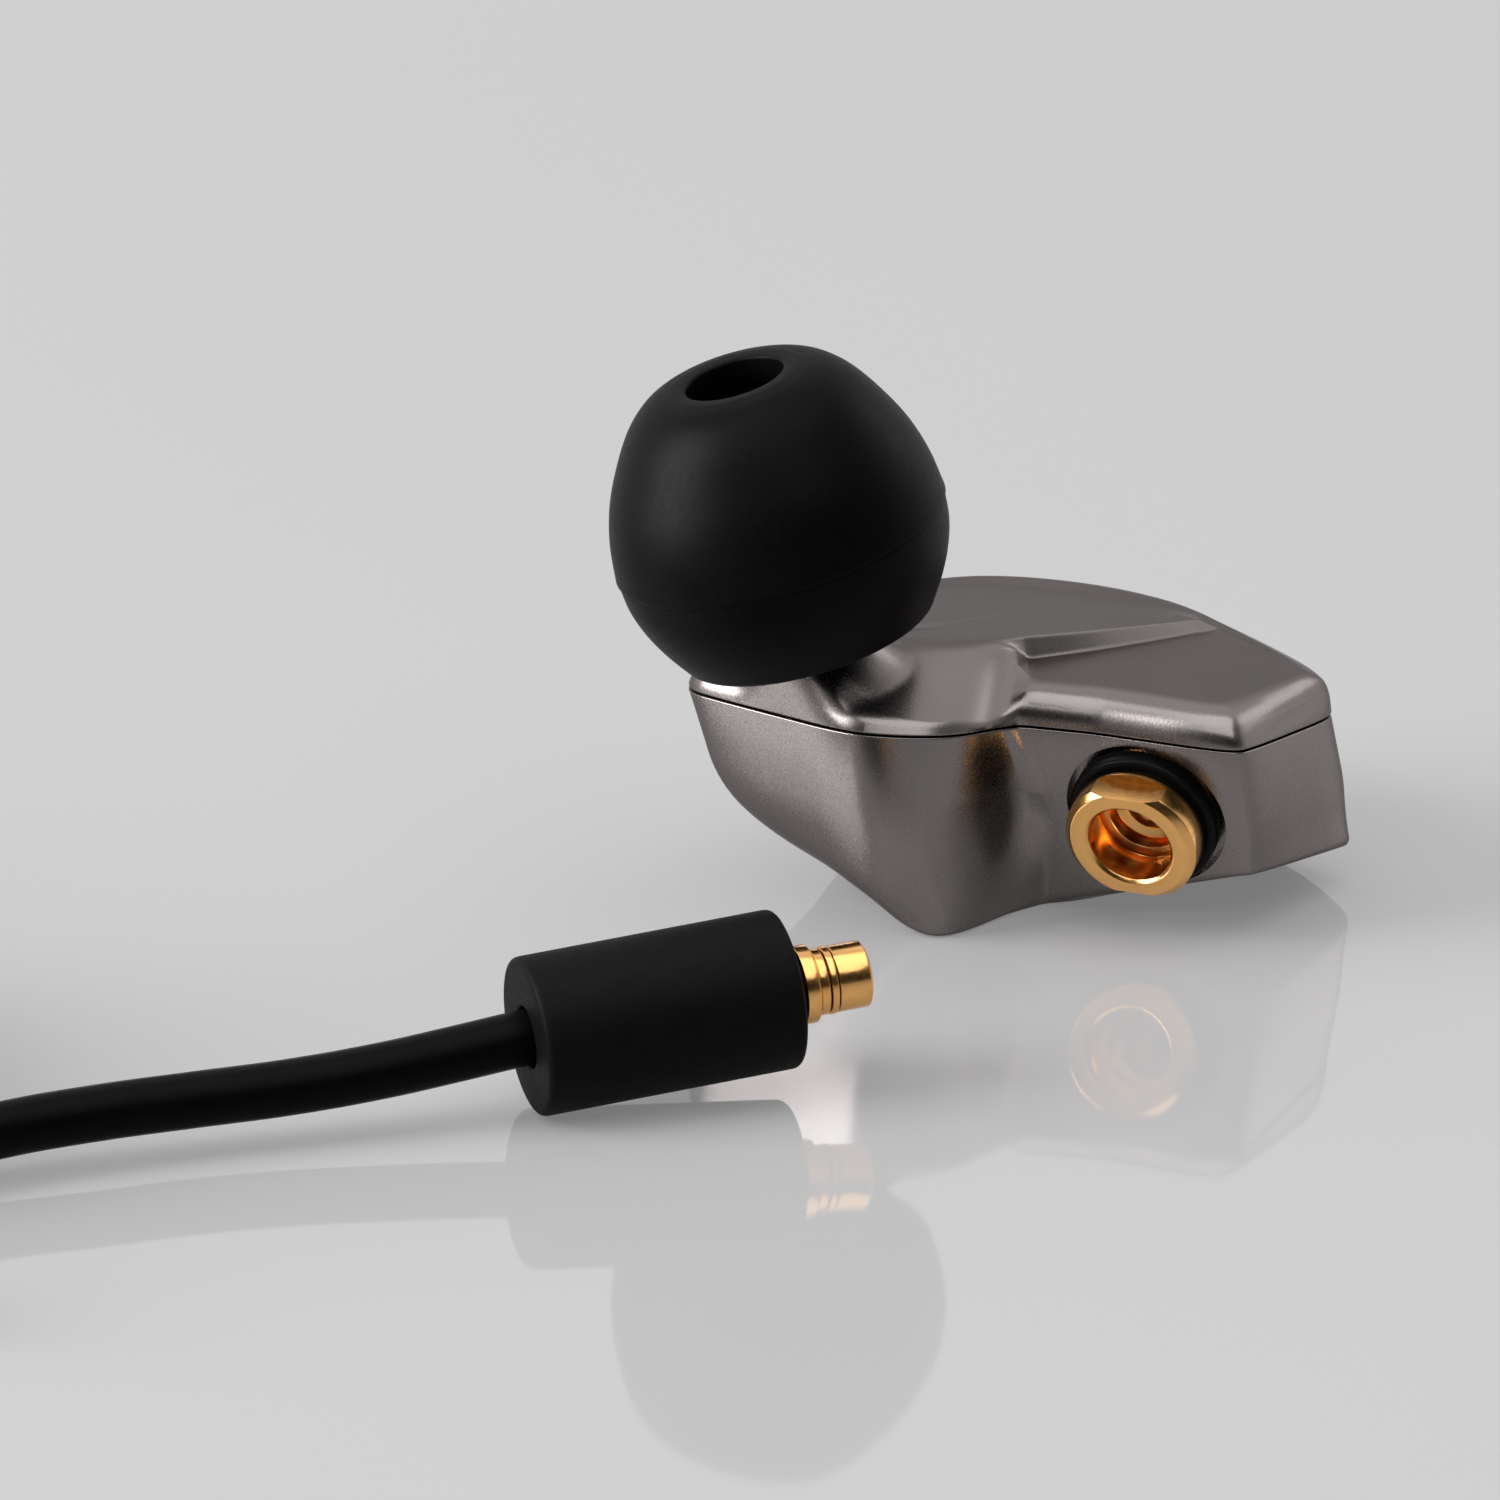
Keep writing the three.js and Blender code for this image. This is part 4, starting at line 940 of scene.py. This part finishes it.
def splitter():
    """A moulded block that narrows to the main lead, with a raised collar at each end."""
    s = SPLITTER
    half = s["width"] / 2
    sections = [
        (s["x0"], 1.9, 0.55), (s["x0"] + 0.9, 2.1, 0.72), (s["x0"] + 1.0, 1.9, 0.66),
        (s["x0"] + 1.4, 1.95, 0.68),
        (s["x0"] + 2.6, 2.75, 0.9), (s["x0"] + 4.2, half - 0.05, 1.0), (s["x1"] - 2.0, half, 1.0),
        (s["x1"] - 1.5, half - 0.16, 0.93), (s["x1"] - 1.2, half - 0.16, 0.93), (s["x1"] - 1.0, half, 1.0),
        (s["x1"] - 0.3, half, 1.0), (s["x1"], half - 0.25, 0.9),
    ]
    rings = []
    for x, wide, tall in sections:
        tall = tall * s["height"] / 2
        corner = min(wide, tall) * 0.92
        ring = []
        for k in range(SPLITTER_SEGMENTS):
            angle = 2 * math.pi * k / SPLITTER_SEGMENTS
            c, d = math.cos(angle), math.sin(angle)
            ring.append((
                x,
                s["y"] + (wide - corner) * np.sign(round(c, 6)) + corner * c,
                s["height"] / 2 + (tall - corner) * np.sign(round(d, 6)) + corner * d,
            ))
        rings.append(ring)
    smooth_rings = rounded(rings, [0.35] * len(rings), 3, closed=False)
    vertices = [v for ring in smooth_rings for v in row(ring)]
    faces = skin(smooth_rings)
    last = (len(smooth_rings) - 1) * SPLITTER_SEGMENTS
    faces += [tuple(reversed(range(SPLITTER_SEGMENTS))), tuple(range(last, last + SPLITTER_SEGMENTS))]
    block = mesh_object("cable_splitter", vertices, faces, "black_plastic")
    smooth(block, 40)
    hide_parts("splitter")
    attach(block, "cable")
    return block


def jack():
    """The stereo jack: ribbed strain relief, housing, insulator and its three contacts."""
    place = frame_along(JACK_AXIS, JACK_REAR)
    relief = 8
    face = relief + 13
    grooves = []
    for k in range(5):
        at = 1.6 + 1.2 * k
        radius = 1.85 + (2.4 - 1.85) * at / relief
        grooves += [
            (radius, at), (radius - 0.28, at + 0.12), (radius - 0.28, at + 0.42), (radius + 0.02, at + 0.54),
        ]
    relief_line = soften([(1.08, 0), (1.75, 0), *grooves, (2.4, relief - 0.1), (1.08, relief - 0.1)], 0.08, 2)
    boot = turned("jack_boot", relief_line, place, "black_plastic", 96)
    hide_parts("jack_strain_relief")
    body_line = soften([
        (0, relief + 0.05), (3.1, relief + 0.05), (3.6, relief + 0.6), (3.6, relief + 9.2),
        (3.45, relief + 9.35), (3.45, relief + 9.75), (3.6, relief + 9.9), (3.6, face - 0.5),
        (3.1, face), (2.0, face), (2.0, face - 0.3), (0, face - 0.3),
    ], 0.16, 3, closed=False)
    body = turned("jack_body", body_line, place, "black_plastic", 128, closed=False)
    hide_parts("jack_housing")
    insulator_line = soften([
        (0, face - 0.2), (0.9, face - 0.2), (0.9, face + 8.35), (1.74, face + 8.35), (1.74, face + 8.95),
        (0.9, face + 8.95), (0.9, face + 10.75), (1.74, face + 10.75), (1.74, face + 11.35),
        (0, face + 11.35),
    ], 0.03, 2, closed=False)
    insulator = turned("jack_spacer", insulator_line, place, "black_plastic", 96, closed=False)
    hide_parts("jack_insulator")
    sleeve_line = [(1.2, face - 0.2), (1.75, face - 0.2), (1.75, face + 8.3), (1.2, face + 8.3)]
    sleeve = turned("jack_sleeve", soften(sleeve_line, 0.04, 2), place, "gold_plate", 96)
    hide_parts("jack_sleeve_contact")
    ring_line = [(1.2, face + 9.0), (1.75, face + 9.0), (1.75, face + 10.7), (1.2, face + 10.7)]
    ring = turned("jack_ring", soften(ring_line, 0.04, 2), place, "gold_plate", 96)
    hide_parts("jack_ring_contact")
    tip_line = [
        (0, face + 11.4), (1.6, face + 11.4), (1.62, face + 11.7), (1.15, face + 12.15),
        (1.62, face + 12.75), (1.62, face + 13.0), (1.45, face + 13.45), (0.9, face + 13.95),
        (0.45, face + 14.17), (0, face + 14.2),
    ]
    tip_line = rounded(tip_line, [0.0, 0.15] + [0.4] * 7 + [0.0], 4, closed=False)
    tip = turned("jack_tip", [tuple(p) for p in tip_line], place, "gold_plate", 96, closed=False)
    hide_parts("jack_tip_contact")
    pieces = [boot, body, insulator, sleeve, ring, tip]
    for piece in pieces:
        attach(piece, "cable")
    return pieces


TIE_WIDTH = 3.0
TIE_THICKNESS = 0.3


def tie(name, leads, angle):
    """A woven strap round one side of a coil, or of the coils that lie on each other."""
    coils = [COILS[lead_name] for lead_name in leads]
    turns = max(abs(coil["turns"]) / len(coil["layers"]) for coil in coils)
    inner = TURN_OUTER - turns * TURN_PITCH - CABLE / 2 - 0.1
    outer = TURN_OUTER + CABLE / 2 + 0.1
    top = max(coil["base"] + len(coil["layers"]) * TURN_PITCH for coil in coils)
    centre = coils[0]["centre"]
    t = TIE_THICKNESS
    loop = [(inner - 1.4 * t, t / 2), (outer + 1.4 * t, t / 2), (outer + 1.4 * t, top + 1.4 * t),
            (inner - 1.4 * t, top + 1.4 * t)]
    middle = np.array(soften(loop, 0.8, 6))
    ahead = np.roll(middle, -1, axis=0) - np.roll(middle, 1, axis=0)
    ahead /= np.linalg.norm(ahead, axis=1, keepdims=True)
    out = np.stack([ahead[:, 1], -ahead[:, 0]], axis=1)
    half = TIE_WIDTH / 2
    section = [
        (-half, -t * 0.3), (-half * 0.93, -t / 2), (half * 0.93, -t / 2), (half, -t * 0.3),
        (half, t * 0.3), (half * 0.93, t / 2), (-half * 0.93, t / 2), (-half, t * 0.3),
    ]
    turn = np.array([[math.cos(angle), -math.sin(angle)], [math.sin(angle), math.cos(angle)]])

    def placed(radial, height, across):
        x, y = turn @ np.array([radial, across])
        return (centre[0] + x, centre[1] + y, height)

    vertices = []
    for m, o in zip(middle, out):
        for across, off in section:
            vertices.append(row(placed(m[0] + o[0] * off, m[1] + o[1] * off, across)))
    count = len(section)
    faces = []
    for k in range(len(middle)):
        here, there = k * count, (k + 1) % len(middle) * count
        for i in range(count):
            j = (i + 1) % count
            faces.append((here + i, here + j, there + j, there + i))
    strap_piece = mesh_object(name.replace("tie", "strap"), vertices, faces, "tie_strap")
    smooth(strap_piece, 50)
    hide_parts(name)
    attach(strap_piece, "cable")
    return strap_piece


splitter_block = splitter()
jack_pieces = jack()
side_strap = tie("side_leads_tie", ["left_lead", "right_lead"], -0.5)
main_strap = tie("main_lead_tie", ["main_lead"], 1.2)

# ------------------------------------------------------------------ pieces kept from the CAD

KEPT = {
    "steel": [
        "nozzle_mesh", "driver_case", "driver_lid", "driver_magnets", "driver_armature",
        "driver_diaphragm", "driver_spout", "socket_lock_nut",
    ],
    "copper": ["driver_coil", "signal_wire", "ground_wire"],
    "black_plastic": ["driver_terminal_board", "driver_cradle"],
    "natural_polymer": ["acoustic_damper", "sound_tube"],
}
for material, names in KEPT.items():
    for name in names:
        finish_look(frame["nodes"][name], material)

# ------------------------------------------------------------------ floor and light


FLOOR_REACH = 3.0


def floor():
    """A glossy pale sheet that gives a little light itself, so shadows on it stay pale."""
    n = Nodes("floor")
    n.tint(n.noise(6, 2), (0.235, 0.232, 0.235), (0.245, 0.242, 0.245))
    n.set(Roughness=0.045, IOR=1.45, Specular_IOR_Level=0.5)
    n.set(Emission_Color=(1.0, 0.99, 1.0), Emission_Strength=0.18)
    mesh = bpy.data.meshes.new("floor")
    r = FLOOR_REACH
    mesh.from_pydata([(-r, -r, 0), (r, -r, 0), (r, r, 0), (-r, r, 0)], [], [(0, 1, 2, 3)])
    plane = bpy.data.objects.new("floor", mesh)
    bpy.context.scene.collection.objects.link(plane)
    mesh.materials.append(n.material)


LAMP_AIM = Vector((0, 0, 0.008))


def lamp(name, place, size, power):
    data = bpy.data.lights.new(name, "AREA")
    data.shape = "RECTANGLE"
    data.size, data.size_y = size
    data.energy = power
    light = bpy.data.objects.new(name, data)
    bpy.context.scene.collection.objects.link(light)
    light.location = place
    light.rotation_euler = (LAMP_AIM - Vector(place)).to_track_quat("-Z", "Y").to_euler()


def world():
    """A dim studio that is bright behind the object, as the backdrop is."""
    made = bpy.data.worlds.new("studio")
    made.use_nodes = True
    tree = made.node_tree
    shade = tree.nodes["Background"]
    place = tree.nodes.new("ShaderNodeTexCoord")
    split = tree.nodes.new("ShaderNodeSeparateXYZ")
    spread = tree.nodes.new("ShaderNodeMapRange")
    ramp = tree.nodes.new("ShaderNodeValToRGB")
    tree.links.new(place.outputs["Generated"], split.inputs[0])
    spread.inputs["From Min"].default_value = -1
    tree.links.new(split.outputs["Y"], spread.inputs["Value"])
    tree.links.new(spread.outputs["Result"], ramp.inputs["Fac"])
    tree.links.new(ramp.outputs["Color"], shade.inputs["Color"])
    first, last = ramp.color_ramp.elements
    first.position, first.color = 0.1, (0.02, 0.02, 0.02, 1)
    last.position, last.color = 0.94, (0.66, 0.65, 0.66, 1)
    side = ramp.color_ramp.elements.new(0.5)
    side.color = (0.34, 0.34, 0.34, 1)
    high = ramp.color_ramp.elements.new(0.8)
    high.color = (1.1, 1.08, 1.09, 1)
    bpy.context.scene.world = made


floor()
world()
lamp("overhead", (0.0, -0.25, 0.70), (0.9, 0.9), 4.9)
lamp("key_left", (-0.75, -0.15, 0.28), (0.5, 0.8), 16.0)
lamp("edge_right", (0.6, 0.45, 0.3), (0.35, 0.35), 0.5)

bpy.context.scene.view_settings.view_transform = "Standard"
